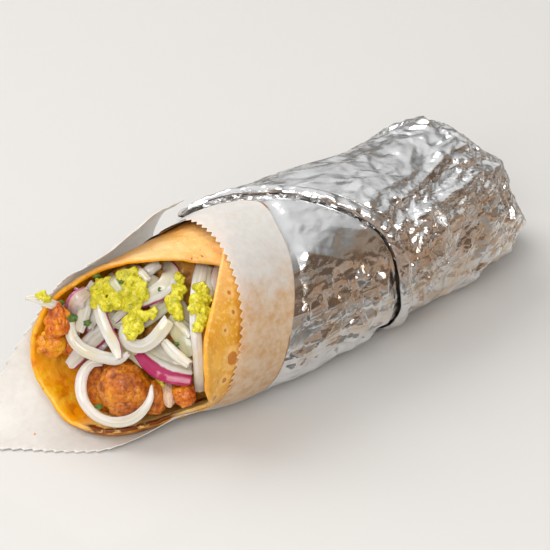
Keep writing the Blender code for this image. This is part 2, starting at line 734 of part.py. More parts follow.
def make_core(collection):
    """The packed filling behind the pieces that show, running down the whole roll."""
    angles = [360 * step / CORE_SIDES for step in range(CORE_SIDES)]
    rings = []
    for share in CORE_FRONT_SHARES:
        rings.append([core_point(angle, share) for angle in angles])
    for place in (None, TAPER_START, CORE_REAR):
        ring = []
        for angle in angles:
            spot = core_front(angle) if place is None else place
            across, above = radians_point(angle, CORE_RADIUS * thinning(spot))
            height = rest_on(axis_height(spot) + above, CORE_FLOOR)
            ring.append(Vector((spot, across, height)))
        rings.append(ring)
    nose = Vector((CORE_MIDDLE, 0, AXIS_HEIGHT))
    tail = Vector((CORE_REAR, 0, axis_height(BREAD_REAR)))
    return add_object("filling_core", close_loft(rings, nose, tail), "filling", collection)


def core_front(angle):
    """Where the core starts at its edge, set back from the rim."""
    unrolled = (BREAD_START_ANGLE - angle) % 360
    return along(BREAD_RIM, BREAD_START_ANGLE - unrolled) + CORE_SETBACK


def core_point(angle, share):
    """A point of the core's uneven front."""
    across, above = radians_point(angle, CORE_RADIUS * share)
    front = CORE_MIDDLE + (core_front(angle) - CORE_MIDDLE) * share**CORE_FRONT_CURVE
    bump = CORE_BUMP * noise.noise(Vector((across, above, 0)) * CORE_BUMP_PITCH)
    return Vector((front + bump, across, AXIS_HEIGHT + above))


def build():
    clear_scene()
    roll = new_collection("kati_roll")
    slices = new_collection("swollen_onions", helper=True)
    chunks = new_collection("swollen_meats", helper=True)
    front = new_collection("swollen_front_kebab", helper=True)
    make_bread(roll)
    make_paper(roll)
    make_foil(roll)
    for name, (route, widths, lean) in ONIONS.items():
        onion_slice(name, route, widths, lean, roll)
        onion_slice("room_" + name, route, widths, lean, slices, swell=CLEARANCE)
    for name, (middle, half_sizes) in MEATS.items():
        chunk = meat_chunk(name, middle, half_sizes, roll)
        meat_chunk("room_" + name, middle, half_sizes, chunks, swell=CLEARANCE)
        if name == "kebab_front":
            meat_chunk("room_front", middle, half_sizes, front, swell=CLEARANCE)
        elif name in ("kebab_behind", "kebab_right"):
            make_room(chunk, front)
        make_room(chunk, slices)
    for name, lobes in CHUTNEYS.items():
        dollop = chutney_dollop(name, lobes, roll)
        make_room(dollop, slices)
        if name == "chutney_low":
            make_room(dollop, chunks)
    core = make_core(roll)
    make_room(core, chunks)


build()
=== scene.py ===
"""Kati roll: the finished looks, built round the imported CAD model.

Flatbread rolled round kebab, chicken, onion and green chutney lies along X in a waxed paper band and
crumpled foil. Lengths below are in millimetres and angles in degrees; meshes are scaled to metres as
they are made. An angle round the roll is 0 on the far side (+Y), 90 on top, 180 on the near side (-Y)
and 270 underneath.
"""

import math

import bpy
import numpy as np
from mathutils import Matrix, Vector


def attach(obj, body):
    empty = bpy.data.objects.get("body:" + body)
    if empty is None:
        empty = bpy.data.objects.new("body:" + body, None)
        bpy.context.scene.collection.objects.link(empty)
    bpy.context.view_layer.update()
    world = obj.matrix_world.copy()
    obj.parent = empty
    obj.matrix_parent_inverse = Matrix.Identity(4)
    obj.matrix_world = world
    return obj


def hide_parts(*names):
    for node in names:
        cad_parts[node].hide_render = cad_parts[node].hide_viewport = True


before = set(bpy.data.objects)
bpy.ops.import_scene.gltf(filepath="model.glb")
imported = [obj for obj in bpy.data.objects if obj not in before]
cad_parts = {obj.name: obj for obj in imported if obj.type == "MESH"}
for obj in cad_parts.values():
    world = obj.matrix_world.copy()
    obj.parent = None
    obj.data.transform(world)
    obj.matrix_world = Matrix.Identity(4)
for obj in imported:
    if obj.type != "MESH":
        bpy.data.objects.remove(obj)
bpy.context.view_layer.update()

MM = 0.001

# ---------------------------------------------------------------- sizes shared with the CAD model

# Height of the roll's axis, and the share by which the roll gets thinner between two places along it
AXIS_HEIGHT = 34.4
REAR_TAPER = 0.085
TAPER_START = 20.0
TAPER_END = 92.0
BREAD_RADIUS = 33.0
BREAD_WALL = 2.3
BREAD_INSIDE = BREAD_RADIUS - BREAD_WALL
BREAD_LAYER_GAP = 0.5
# Angle of the bread's inner end, and how far it is rolled from there
BREAD_START_ANGLE = 125.0
BREAD_TURN = 405.0
BREAD_REAR = 88.0
# Height of the bread's underside over the table, with the wrappings under it
BREAD_FLOOR = 1.7
# How far the bread is drawn in at the lower near side of the mouth, and where
BREAD_TUCK = 4.5
BREAD_TUCK_ANGLE = -125.0
# Front edge of the bread: angle, and place along the roll
BREAD_RIM = (
    (125, -34), (115, -38.5), (107, -44), (98, -49), (90, -54), (80, -59), (68, -62.5), (57, -67),
    (30, -80), (0, -89.5), (-45, -91), (-80, -87), (-97, -80), (-118, -63), (-134, -54), (-148, -57),
    (-168, -63.5), (-185, -65), (-200, -63), (-210, -59), (-222, -52), (-236, -43), (-250, -33),
    (-280, -20),
)
# The wrappings bridge the step at the bread's outer end: how fast they fall away from it by the
# square of the angle, how many degrees they do so, and their distance from the bread
STEP_EASE = 0.0065
STEP_REACH = 21
CLEARANCE = 0.5

# Turns a distance round the paper into an angle
PAPER_RADIUS = 37.2
# Front and rear edge of the paper: distance round the roll, and place along it
PAPER_FRONT = (
    (-130, -33), (-120, -33), (-107, -35), (-90, -40), (-72, -46), (-55, -51), (-44, -52), (-34, -53.5),
    (-26, -60), (-18, -72), (-9, -86), (0, -96), (15, -109), (33, -122), (45, -108), (56, -95),
    (66, -87), (80, -82), (103, -76),
)
PAPER_REAR = (
    (-130, -24), (-124, -14), (-119, -6), (-113, -3), (-101, -7), (-90, -10), (-72, -17), (-57, -22),
    (-40, -24), (0, -26), (103, -26),
)
# Angle of the paper's near end
PAPER_SEAM = 69.0

# Front edge of the outer foil: angle, and place along the roll
CAP_EDGE = (
    (-90, 45), (-30, 22), (0, 4), (30, -10), (55, -24), (70, -19), (80, -9), (90, 0), (100, 9), (114, 17),
    (129, 25), (145, 32), (160, 35), (181, 36), (200, 40), (235, 45), (270, 45),
)
# Sections of the foil's end: place along the roll, middle (Y and height), and half width and height
FOIL_END = (
    (102, 0, 32.6, 33.4, 32.4), (112, 0.5, 31.6, 32, 31.4), (120, 1.5, 29.8, 29.5, 29.6),
    (127, 2.5, 27, 25.5, 26.8), (133, 3, 24, 21, 23.8), (138, 3, 20.5, 16.5, 20.3),
    (142, 3, 16.5, 12, 16.3), (145, 3, 12.5, 7.5, 12),
)

FOIL_TAIL = 145.9
# Length of the foil once round the roll
FOIL_GIRTH = 230.0

# The filling is placed by right, up and towards the viewer from here
MOUTH_CENTRE = np.array((-75.0, 0.0, 34.0))
VIEW_AZIMUTH = -45.0
VIEW_ELEVATION = 30.3
# How fast the face of the filling comes forward to the right and upwards
MOUTH_SLANT = 0.40
MOUTH_TILT = 0.05
CORE_RADIUS = 29.6
# How softly the bread and the wrappings flatten where they meet the table
BREAD_BEND = 3.0
WRAP_BEND = 0.8


def view_axes():
    """Right, up and towards the viewer, as directions, for someone facing the mouth."""
    turn, rise = math.radians(VIEW_AZIMUTH), math.radians(VIEW_ELEVATION)
    right = np.array((math.cos(turn), math.sin(turn), 0))
    out = np.array((math.sin(turn) * math.cos(rise), -math.cos(turn) * math.cos(rise), math.sin(rise)))
    return right, np.cross(out, right), out


RIGHT, UP, OUT = view_axes()
MOUTH_AXES = np.array((RIGHT, UP, OUT))

# ---------------------------------------------------------------- numbers


def ease(low, high, value):
    """0 up to low, 1 from high on, with a smooth rise between. Low may also be the larger one."""
    t = np.clip((value - low) / (high - low), 0, 1)
    return t * t * (3 - 2 * t)


def between(value, rise, fall):
    """1 between a smooth rise and a smooth fall, each given as its two ends."""
    return ease(*rise, value) * (1 - ease(*fall, value))


def bell(value, width):
    """1 where value is 0, fading smoothly to both sides."""
    return np.exp(-((value / width) ** 2))


def round_edge(depth, reach):
    """Share of a sheet's thickness at that depth in from its edge, for an edge rounded over reach."""
    return np.sqrt(np.clip(1 - (1 - np.clip(depth / reach, 0, 1)) ** 2, 0, 1))


def follow(table, place):
    """Reads a table of (place, value) rows with a smooth curve through them."""
    rows = np.array(sorted(table), float)
    at, values = rows[:, 0], rows[:, 1]
    slopes = np.empty_like(values)
    slopes[1:-1] = (values[2:] - values[:-2]) / (at[2:] - at[:-2])
    slopes[0] = (values[1] - values[0]) / (at[1] - at[0])
    slopes[-1] = (values[-1] - values[-2]) / (at[-1] - at[-2])
    place = np.clip(place, at[0], at[-1])
    i = np.clip(np.searchsorted(at, place, side="right") - 1, 0, len(at) - 2)
    span = at[i + 1] - at[i]
    t = (place - at[i]) / span
    return (
        (2 * t**3 - 3 * t**2 + 1) * values[i]
        + (t**3 - 2 * t**2 + t) * span * slopes[i]
        + (3 * t**2 - 2 * t**3) * values[i + 1]
        + (t**3 - t**2) * span * slopes[i + 1]
    )


def rest_on(height, floor, soften):
    """Height above the table, laid flat with a soft bend where it would go under floor."""
    over = height - floor
    bend = floor + (over + soften) ** 2 / (4 * soften)
    return np.where(over >= soften, height, np.where(over <= -soften, floor, bend))


def scatter(i, j, k, seed):
    """An even random number from 0 to 1 for each lattice point, the same on every run."""
    n = i.astype(np.int64) * 374761393 + j.astype(np.int64) * 668265263
    n = n + k * 1440662683 + seed * 974634777
    n = (n & 0xFFFFFFFF) ^ ((n & 0xFFFFFFFF) >> 13)
    n = (n * 1274126177) & 0xFFFFFFFF
    n ^= n >> 16
    n = (n * 2246822519) & 0xFFFFFFFF
    return ((n ^ (n >> 15)) & 0xFFFFF) / 0xFFFFF


def seed_of(name):
    return sum(map(ord, name))


def lumps(points, size, seed=0):
    """Smooth random relief from -1 to 1, with lumps about that many millimetres across."""
    p = np.asarray(points, float) / size
    cell = np.floor(p).astype(np.int64)
    f = p - cell
    f = f * f * (3 - 2 * f)
    total = 0.0
    for corner in range(8):
        step = [(corner >> axis) & 1 for axis in range(3)]
        weight = 1.0
        for axis in range(3):
            weight = weight * (f[:, axis] if step[axis] else 1 - f[:, axis])
        i, j, k = (cell + step).T
        total = total + weight * scatter(i, j, k, seed)
    return 2 * total - 1


def layered_lumps(points, size, layers=3, seed=0):
    """Lumps with finer ones on them."""
    return sum(lumps(points, size / 2.1**n, seed + n) / 1.9**n for n in range(layers))


def facets(along, around, size, turns, seed):
    """Flat facets with sharp creases between them, from -1 to 1, closed round the roll.

    along is in millimetres; around is the share of the whole turn; turns is the facets in a turn.
    """
    a, b = along / size, around * turns
    i, j = np.floor(a).astype(np.int64), np.floor(b).astype(np.int64)
    fa, fb = a - i, b - j
    corner = [[scatter(i + di, (j + dj) % turns, 0, seed) for dj in (0, 1)] for di in (0, 1)]
    rising = scatter(i, j % turns, 7, seed) > 0.5
    h00, h01, h10, h11 = corner[0][0], corner[0][1], corner[1][0], corner[1][1]
    below_rising = h00 + fa * (h10 - h00) + fb * (h11 - h10)
    above_rising = h00 + fb * (h01 - h00) + fa * (h11 - h01)
    below_falling = h00 + fa * (h10 - h00) + fb * (h01 - h00)
    above_falling = h11 + (1 - fa) * (h01 - h11) + (1 - fb) * (h10 - h11)
    up = np.where(fa > fb, below_rising, above_rising)
    down = np.where(fa + fb < 1, below_falling, above_falling)
    return 2 * np.where(rising, up, down) - 1


# How the rows of crushed foil wander: size of the bends, and how far they shift
FOLD_BENDS = ((34.0, 8.0), (13.0, 2.4), (5.0, 0.5))


def crushed(along, around, folds, seed=0):
    """Relief of crushed foil in millimetres.

    folds are the length, width and depth of its facets, from large to small."""
    for size, shift in FOLD_BENDS:
        count = round(FOIL_GIRTH / size)
        sway = facets(along, around, size, count, seed + 11)
        swing = facets(along + 51, around, size, count, seed + 12)
        along, around = along + shift * sway, around + shift * swing / FOIL_GIRTH
    relief = 0.0
    for n, (length, width, depth) in enumerate(folds):
        count = round(FOIL_GIRTH / width)
        relief = relief + depth * facets(along + 7 * n, around + 0.13 * n, length, count, seed + n)
    return relief


def crease(along, angle, start, end, width):
    """1 on a straight crease between two (along, angle) points, and 0 a width away from it."""
    reach = np.radians(1) * BREAD_RADIUS
    line = np.array((end[0] - start[0], (end[1] - start[1]) * reach))
    from_start = np.stack((along - start[0], (angle - start[1]) * reach), -1)
    share = np.clip(from_start @ line / (line @ line), 0, 1)
    away = np.linalg.norm(from_start - share[..., None] * line, axis=-1)
    return np.clip(1 - away / width, 0, 1)


# ---------------------------------------------------------------- making meshes


def deselect():
    bpy.ops.object.select_all(action="DESELECT")


def read_points(thing):
    flat = np.empty(len(thing.data.vertices) * 3)
    thing.data.vertices.foreach_get("co", flat)
    return flat.reshape(-1, 3)


def write_points(thing, points):
    thing.data.vertices.foreach_set("co", np.asarray(points, float).ravel())
    thing.data.update()


def only(thing):
    deselect()
    bpy.context.view_layer.objects.active = thing
    thing.select_set(True)


def apply_modifiers(thing):
    only(thing)
    for modifier in list(thing.modifiers):
        bpy.ops.object.modifier_apply(modifier=modifier.name)


def close_seams(thing, gap=0.002, outward=True):
    """Merges points that lie together, and can turn the faces outward."""
    only(thing)
    bpy.ops.object.mode_set(mode="EDIT")
    bpy.ops.mesh.select_all(action="SELECT")
    bpy.ops.mesh.remove_doubles(threshold=gap * MM)
    if outward:
        bpy.ops.mesh.normals_make_consistent(inside=False)
    bpy.ops.mesh.select_all(action="DESELECT")
    bpy.ops.object.mode_set(mode="OBJECT")


def sheet(name, columns, rows, place):
    """A flat grid, each point moved to place(share along, share across), in millimetres."""
    deselect()
    bpy.ops.mesh.primitive_grid_add(x_subdivisions=columns, y_subdivisions=rows, size=1, calc_uvs=True)
    thing = bpy.context.object
    thing.name = name
    thing.data.name = name
    flat = read_points(thing)
    write_points(thing, place(flat[:, 0] + 0.5, flat[:, 1] + 0.5) * MM)
    return thing


def ball(name, fineness, place):
    """A fine ball, each point moved to place(direction), in millimetres."""
    deselect()
    bpy.ops.mesh.primitive_ico_sphere_add(subdivisions=fineness, radius=1)
    thing = bpy.context.object
    thing.name = name
    thing.data.name = name
    write_points(thing, place(read_points(thing)) * MM)
    return thing


def give_wall(thing, thickness, share, inner_material=0, offset=0.0):
    """Gives a sheet a wall that thins to nothing at its edges, as rounded edges do.

    share holds each point's share of the full thickness."""
    group = thing.vertex_groups.new(name="wall")
    for i, value in enumerate(share):
        group.add((i,), float(value), "REPLACE")
    wall = thing.modifiers.new("wall", "SOLIDIFY")
    wall.thickness = thickness * MM
    wall.offset = offset
    wall.vertex_group = group.name
    wall.thickness_vertex_group = 0.0
    wall.use_even_offset = False
    wall.use_rim = False
    wall.material_offset = inner_material
    apply_modifiers(thing)
    thing.vertex_groups.clear()
    close_seams(thing, outward=False)


def finish_piece(thing, materials, slot, *nodes):
    """Gives a piece its materials, and hides the CAD parts that it stands for. The slot is not used."""
    for material in materials:
        thing.data.materials.append(material)
    thing.data.shade_smooth()
    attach(thing, "root")
    if nodes:
        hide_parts(*nodes)
    return thing


def keep_creases(thing, angle):
    """Shades the mesh smooth but for edges that bend more than the angle."""
    thing.data.set_sharp_from_angle(angle=math.radians(angle))


def mark(thing, kept, *names):
    """Keeps numbers for each point, which a material reads by name."""
    for name in names:
        numbers = thing.data.attributes.new(name, "FLOAT", "POINT")
        numbers.data.foreach_set("value", np.asarray(kept[name], np.float32))


# ---------------------------------------------------------------- materials


def set_stops(elements, stops):
    """Sets a ramp's stops to (value, colour) rows; a bare number is a grey."""
    while len(elements) < len(stops):
        elements.new(0.5)
    for element, (at, colour) in zip(elements, stops):
        element.position = at
        element.color = (*colour, 1) if isinstance(colour, tuple) else (colour, colour, colour, 1)


class Finish:
    """One material, with short ways to add its nodes."""

    def __init__(self, name, **sockets):
        self.material = bpy.data.materials.new(name)
        self.material.use_nodes = True
        self.nodes = self.material.node_tree.nodes
        self.links = self.material.node_tree.links
        self.shader = self.nodes["Principled BSDF"]
        for socket, value in sockets.items():
            self.shader.inputs[socket.replace("_", " ")].default_value = value
        self.place = self.nodes.new("ShaderNodeTexCoord").outputs["Object"]
        self.height = None

    def put(self, socket, value):
        """Links another node's output to a socket, or sets it to a plain value."""
        if isinstance(value, bpy.types.NodeSocket):
            self.links.new(value, socket)
        else:
            socket.default_value = value

    def noise(self, scale, detail=3.0, roughness=0.55, warp=0.0, stretch=None):
        """Cloudy noise, with that many clouds to a metre."""
        made = self.nodes.new("ShaderNodeTexNoise")
        source = self.place
        if stretch:
            mapping = self.nodes.new("ShaderNodeMapping")
            mapping.inputs["Scale"].default_value = stretch
            self.links.new(source, mapping.inputs["Vector"])
            source = mapping.outputs["Vector"]
        self.links.new(source, made.inputs["Vector"])
        made.inputs["Scale"].default_value = scale
        made.inputs["Detail"].default_value = detail
        made.inputs["Roughness"].default_value = roughness
        made.inputs["Distortion"].default_value = warp
        return made.outputs["Fac"]

    def cells(self, scale):
        """Distance from the edges of a pattern of cells, with that many cells to a metre."""
        made = self.nodes.new("ShaderNodeTexVoronoi")
        made.feature = "DISTANCE_TO_EDGE"
        self.links.new(self.place, made.inputs["Vector"])
        made.inputs["Scale"].default_value = scale
        return made.outputs["Distance"]

    def kept(self, name):
        """A number that mark() kept for each point."""
        made = self.nodes.new("ShaderNodeAttribute")
        made.attribute_name = name
        return made.outputs["Fac"]

    def ramp(self, value, *stops):
        """A colour for each value: stops are (value, colour)."""
        made = self.nodes.new("ShaderNodeValToRGB")
        self.links.new(value, made.inputs["Fac"])
        set_stops(made.color_ramp.elements, stops)
        return made.outputs["Color"]

    def step(self, value, low, high):
        """A smooth rise from 0 at low to 1 at high."""
        made = self.nodes.new("ShaderNodeMapRange")
        made.interpolation_type = "SMOOTHSTEP"
        self.put(made.inputs["Value"], value)
        made.inputs["From Min"].default_value = low
        made.inputs["From Max"].default_value = high
        return made.outputs["Result"]

    def math(self, operation, first, second):
        made = self.nodes.new("ShaderNodeMath")
        made.operation = operation
        self.put(made.inputs[0], first)
        self.put(made.inputs[1], second)
        return made.outputs["Value"]

    def mix(self, share, first, second):
        """The first colour where share is 0, and the second where it is 1."""
        made = self.nodes.new("ShaderNodeMix")
        made.data_type = "RGBA"
        self.put(made.inputs["Factor"], share)
        self.put(made.inputs["A"], (*first, 1) if isinstance(first, tuple) else first)
        self.put(made.inputs["B"], (*second, 1) if isinstance(second, tuple) else second)
        return made.outputs["Result"]

    def near(self, point, radius, soft):
        """1 within radius of a point, in millimetres, fading over soft."""
        made = self.nodes.new("ShaderNodeVectorMath")
        made.operation = "DISTANCE"
        self.links.new(self.place, made.inputs[0])
        made.inputs[1].default_value = [value * MM for value in point]
        return self.step(made.outputs["Value"], (radius + soft) * MM, radius * MM)

    def axis(self, name):
        made = self.nodes.new("ShaderNodeSeparateXYZ")
        self.links.new(self.place, made.inputs["Vector"])
        return made.outputs[name]

    def colour(self, value):
        self.put(self.shader.inputs["Base Color"], value)

    def cloudy_roughness(self, scale, low, high):
        """Roughness between low and high, in clouds, with that many clouds to a metre."""
        clouds = self.ramp(self.noise(scale, 3), (0.35, low), (0.65, high))
        self.put(self.shader.inputs["Roughness"], clouds)

    def bump(self, height, distance, strength=1.0):
        """Fine relief, of that depth in millimetres. A second call adds to the first."""
        made = self.nodes.new("ShaderNodeBump")
        made.inputs["Distance"].default_value = distance * MM
        made.inputs["Strength"].default_value = strength
        self.put(made.inputs["Height"], height)
        if self.height:
            self.links.new(self.height, made.inputs["Normal"])
        self.height = made.outputs["Normal"]
        self.links.new(self.height, self.shader.inputs["Normal"])


def bread_outside_finish():
    f = Finish(
        "griddled_bread", IOR=1.45, Subsurface_Weight=0.15, Subsurface_Scale=0.003,
        Subsurface_Radius=(1.0, 0.5, 0.2),
    )
    cloud = f.noise(55, 4)
    lower_dough = f.ramp(
        cloud, (0.34, (0.74, 0.33, 0.022)), (0.52, (0.82, 0.41, 0.045)), (0.68, (0.88, 0.51, 0.10)))
    upper_dough = f.ramp(
        cloud, (0.34, (0.85, 0.43, 0.11)), (0.52, (0.89, 0.50, 0.16)), (0.68, (0.93, 0.60, 0.26)))
    # The dough is paler on the top of the roll: this tone is set by height only.
    top = f.step(f.math("ADD", f.axis("Z"), f.math("MULTIPLY", f.noise(80, 3), 0.02)), 0.062, 0.074)
    dough = f.mix(top, lower_dough, upper_dough)
    speckle = f.step(f.noise(620, 3), 0.50, 0.72)
    dough = f.mix(f.math("MULTIPLY", speckle, 0.6), dough, (0.95, 0.66, 0.26))
    toast = f.step(f.noise(95, 5, 0.6, 0.6), 0.58, 0.70)
    dough = f.mix(f.math("MULTIPLY", toast, 0.8), dough, (0.72, 0.29, 0.03))
    blister = f.step(f.noise(190, 4, 0.6, 0.5), 0.675, 0.72)
    dough = f.mix(blister, dough, (0.44, 0.13, 0.012))
    for point, radius in BLISTERS:
        ring = f.math("MULTIPLY", f.near(point, radius * 1.2, 1.6), 0.55)
        dough = f.mix(ring, dough, (0.93, 0.60, 0.22))
        broken = f.math("MULTIPLY", f.noise(330, 4, 0.65), 0.9)
        char = f.math("ADD", f.near(point, radius * 0.35, radius * 0.75), broken)
        dough = f.mix(f.math("MULTIPLY", f.step(char, 0.82, 1.12), 0.85), dough, (0.50, 0.155, 0.008))
    char = f.math("MULTIPLY", f.kept("char"), f.step(f.noise(240, 5, 0.65), 0.30, 0.52))
    dough = f.mix(char, dough, (0.30, 0.075, 0.006))
    f.colour(dough)
    f.cloudy_roughness(160, 0.26, 0.48)
    f.bump(f.noise(420, 5), 0.32)
    f.bump(f.noise(90, 3), 0.8, 0.7)
    return f.material


def bread_inside_finish():
    f = Finish("sauced_bread", IOR=1.45, Coat_Weight=0.25, Coat_Roughness=0.15)
    cloud = f.noise(60, 4)
    dough = f.ramp(
        cloud, (0.36, (0.92, 0.36, 0.002)), (0.5, (0.97, 0.46, 0.006)), (0.66, (0.98, 0.60, 0.06)))
    sauce = f.step(f.noise(85, 5, 0.62, 0.8), 0.46, 0.58)
    dough = f.mix(f.math("MULTIPLY", sauce, 0.6), dough, (0.90, 0.28, 0.002))
    oil = f.step(f.noise(150, 4), 0.58, 0.66)
    dough = f.mix(f.math("MULTIPLY", oil, 0.6), dough, (0.66, 0.15, 0.004))
    # Painted light: brighter gold where the inside of the lower lip lies in shade.
    dough = f.mix(f.math("MULTIPLY", f.kept("painted_light"), 0.85), dough, (1.0, 0.76, 0.28))
    # Painted shade under the top flap and a real char line at the lip, both in this dark colour.
    char = f.math("MULTIPLY", f.kept("char_and_shade"), f.step(f.noise(200, 5, 0.65), 0.30, 0.54))
    dough = f.mix(char, dough, (0.20, 0.045, 0.003))
    f.colour(dough)
    f.cloudy_roughness(120, 0.14, 0.4)
    f.bump(f.noise(380, 5), 0.4)
    f.bump(f.noise(120, 3), 1.0, 0.8)
    return f.material


def paper_finish():
    f = Finish(
        "waxed_paper", IOR=1.4, Subsurface_Weight=0.4, Subsurface_Scale=0.002,
        Subsurface_Radius=(1.0, 0.93, 0.85),
    )
    fibres = f.ramp(f.noise(350, 5), (0.3, (0.68, 0.64, 0.59)), (0.7, (0.76, 0.72, 0.675)))
    spread = f.math("MULTIPLY", f.noise(85, 6, 0.7, 0.3), 0.9)
    cloud = f.step(f.math("ADD", f.kept("grease_and_shade"), spread), 0.72, 1.25)
    # Darker tan where the paper is greasy over the bread, with painted shade towards the near side and
    # underneath.
    stained_and_shaded = f.ramp(f.noise(230, 5, 0.65), (0.36, (0.64, 0.36, 0.17)), (0.6, (0.74, 0.53, 0.36)))
    paper = f.mix(cloud, fibres, stained_and_shaded)
    # Brown line along the rear edge: painted edge shade and a real grease line.
    brown = f.step(f.math("ADD", f.kept("rim"), f.math("MULTIPLY", f.noise(300, 4), 0.5)), 1.12, 1.3)
    f.colour(f.mix(brown, paper, (0.36, 0.14, 0.03)))
    f.cloudy_roughness(110, 0.38, 0.58)
    f.bump(f.noise(260, 5), 0.12)
    f.bump(f.noise(60, 3), 0.6, 0.5)
    return f.material


# The foil's fine creases: how many to a metre, and their share of its slope
FOIL_CRINKLES = ((100, 1.0), (230, 0.8), (560, 0.45))


def foil_finish(name, crinkle):
    """Aluminium foil. crinkle is the slope of the flat sides of its fine creases."""
    f = Finish(name, Metallic=1.0)
    bright = f.ramp(f.noise(60, 3), (0.3, (0.86, 0.865, 0.87)), (0.7, (0.94, 0.94, 0.945)))
    # Painted reflection: a tan tint that stands for the brown table mirrored in the foil's near side.
    painted_reflection = f.math("MULTIPLY", f.kept("painted_reflection"), f.step(f.noise(140, 5, 0.65), 0.40, 0.62))
    f.colour(f.mix(painted_reflection, bright, (0.84, 0.70, 0.56)))
    f.cloudy_roughness(140, 0.12, 0.26)
    for scale, share in FOIL_CRINKLES:
        creased = f.math("MULTIPLY", f.cells(scale), f.kept("crushed"))
        f.bump(creased, crinkle * share / scale / MM)
    return f.material


def onion_finish(name, edge, edge_width, flesh=(0.97, 0.93, 0.85)):
    """Onion flesh with its skin side in another colour. The kept number called side is 1 at the skin."""
    f = Finish(
        name, Roughness=0.2, IOR=1.4, Transmission_Weight=0.15, Subsurface_Weight=0.6,
        Subsurface_Scale=0.005, Subsurface_Radius=(1.0, 0.85, 0.6), Coat_Weight=0.6, Coat_Roughness=0.08,
    )
    red, green, blue = flesh
    fibre = f.ramp(f.kept("fibre"), (0.2, flesh), (0.8, (red * 0.80, green * 0.76, blue * 0.62)))
    sauced = f.step(f.noise(75, 4, 0.6), 0.54, 0.68)
    fibre = f.mix(f.math("MULTIPLY", sauced, 0.45), fibre, (0.88, 0.70, 0.34))
    uneven_side = f.math("ADD", f.kept("side"), f.math("MULTIPLY", f.noise(260, 3), 0.12))
    skin = f.step(uneven_side, 1.06 - edge_width, 1.14 - edge_width)
    f.colour(f.mix(skin, fibre, edge))
    f.bump(f.kept("fibre"), 0.2)
    f.bump(f.noise(700, 3), 0.06)
    return f.material


def chutney_finish():
    f = Finish(
        "green_chutney", Roughness=0.25, IOR=1.4, Subsurface_Weight=0.35, Subsurface_Scale=0.003,
        Subsurface_Radius=(0.7, 1.0, 0.2), Coat_Weight=0.35, Coat_Roughness=0.12,
    )
    ground = f.noise(330, 5, 0.65)
    paste = f.ramp(
        ground, (0.32, (0.38, 0.36, 0.008)), (0.5, (0.65, 0.58, 0.022)), (0.68, (0.83, 0.78, 0.09)))
    herbs = f.step(f.noise(900, 4), 0.62, 0.70)
    paste = f.mix(herbs, paste, (0.13, 0.20, 0.008))
    f.colour(paste)
    f.bump(f.noise(800, 4), 0.35)
    return f.material


def meat_finish(name, dark, middle, light, matt):
    f = Finish(
        name, IOR=1.4, Subsurface_Weight=0.1, Subsurface_Scale=0.002, Subsurface_Radius=(1.0, 0.35, 0.12),
        Coat_Weight=0.32, Coat_Roughness=0.08,
    )
    flesh = f.ramp(f.noise(210, 6, 0.66, 0.4), (0.33, dark), (0.5, middle), (0.67, light))
    crust = f.step(f.noise(640, 4), 0.60, 0.68)
    flesh = f.mix(f.math("MULTIPLY", crust, 0.6), flesh, tuple(value * 0.45 for value in dark))
    # Painted shade: the meat is darker in the hollows of its grain.
    flesh = f.mix(f.math("MULTIPLY", f.kept("painted_crevice_shade"), 0.5), flesh, tuple(value * 0.4 for value in dark))
    f.colour(flesh)
    f.cloudy_roughness(300, matt * 0.6, matt * 1.6)
    f.bump(f.noise(560, 6, 0.7), 0.55)
    f.bump(f.noise(1500, 3), 0.12)
    return f.material


def herb_finish():
    f = Finish("coriander_leaf", Roughness=0.35, Subsurface_Weight=0.2, Subsurface_Scale=0.001)
    f.colour(f.ramp(f.noise(400, 3), (0.35, (0.03, 0.09, 0.01)), (0.65, (0.09, 0.19, 0.02))))
    f.bump(f.noise(700, 3), 0.15)
    return f.material


# Browned blisters on the near flap: middle and radius
BLISTERS = (
    ((-50.6, -35.1, 37.2), 3.7), ((-54.7, -34.8, 29.4), 1.6), ((-43.4, -25.7, 58.5), 1.4),
    ((-45.5, -29.9, 52.9), 1.4), ((-51.9, -32.1, 48.8), 1.2), ((-58.2, -33.1, 22.3), 1.7),
)


# ---------------------------------------------------------------- flatbread


def axis_height(x):
    return AXIS_HEIGHT * thinning(x)


def thinning(x):
    return 1 - REAR_TAPER * ease(TAPER_START, TAPER_END, x)


def bread_radius(unrolled, x):
    """Outer radius of the bread, by the angle unrolled from its inner end."""
    angle = BREAD_START_ANGLE - unrolled
    radius = BREAD_RADIUS + (BREAD_WALL + BREAD_LAYER_GAP) * unrolled / 360
    tuck = bell(angle - BREAD_TUCK_ANGLE, 24) * (1 - ease(-66, -30, x))
    sway = 0.5 * np.sin(np.radians(2 * angle + 3 * x))
    return (radius - BREAD_TUCK * tuck + sway) * thinning(x)


def bread_clear(angle, x):
    """Radius that clears the outermost bread at an angle and a little to both sides of it."""
    found = np.zeros_like(angle + x)
    for shift in range(-STEP_REACH, STEP_REACH + 1):
        unrolled = (BREAD_START_ANGLE - angle - shift) % 360
        unrolled = np.where(unrolled + 360 <= BREAD_TURN, unrolled + 360, unrolled)
        found = np.maximum(found, bread_radius(unrolled, x) - STEP_EASE * shift**2)
    return found + CLEARANCE


def rolled(x, angle, radius, floor, soften):
    """A point on the roll, resting on the table."""
    turn = np.radians(angle)
    height = rest_on(axis_height(x) + radius * np.sin(turn), floor, soften)
    return np.stack((x, radius * np.cos(turn), height), axis=1)


# How far the near lip spreads outward at the mouth, and how far in the bread's edges are rounded
LIP_FLARE = 1.7
BREAD_EDGE = 1.3


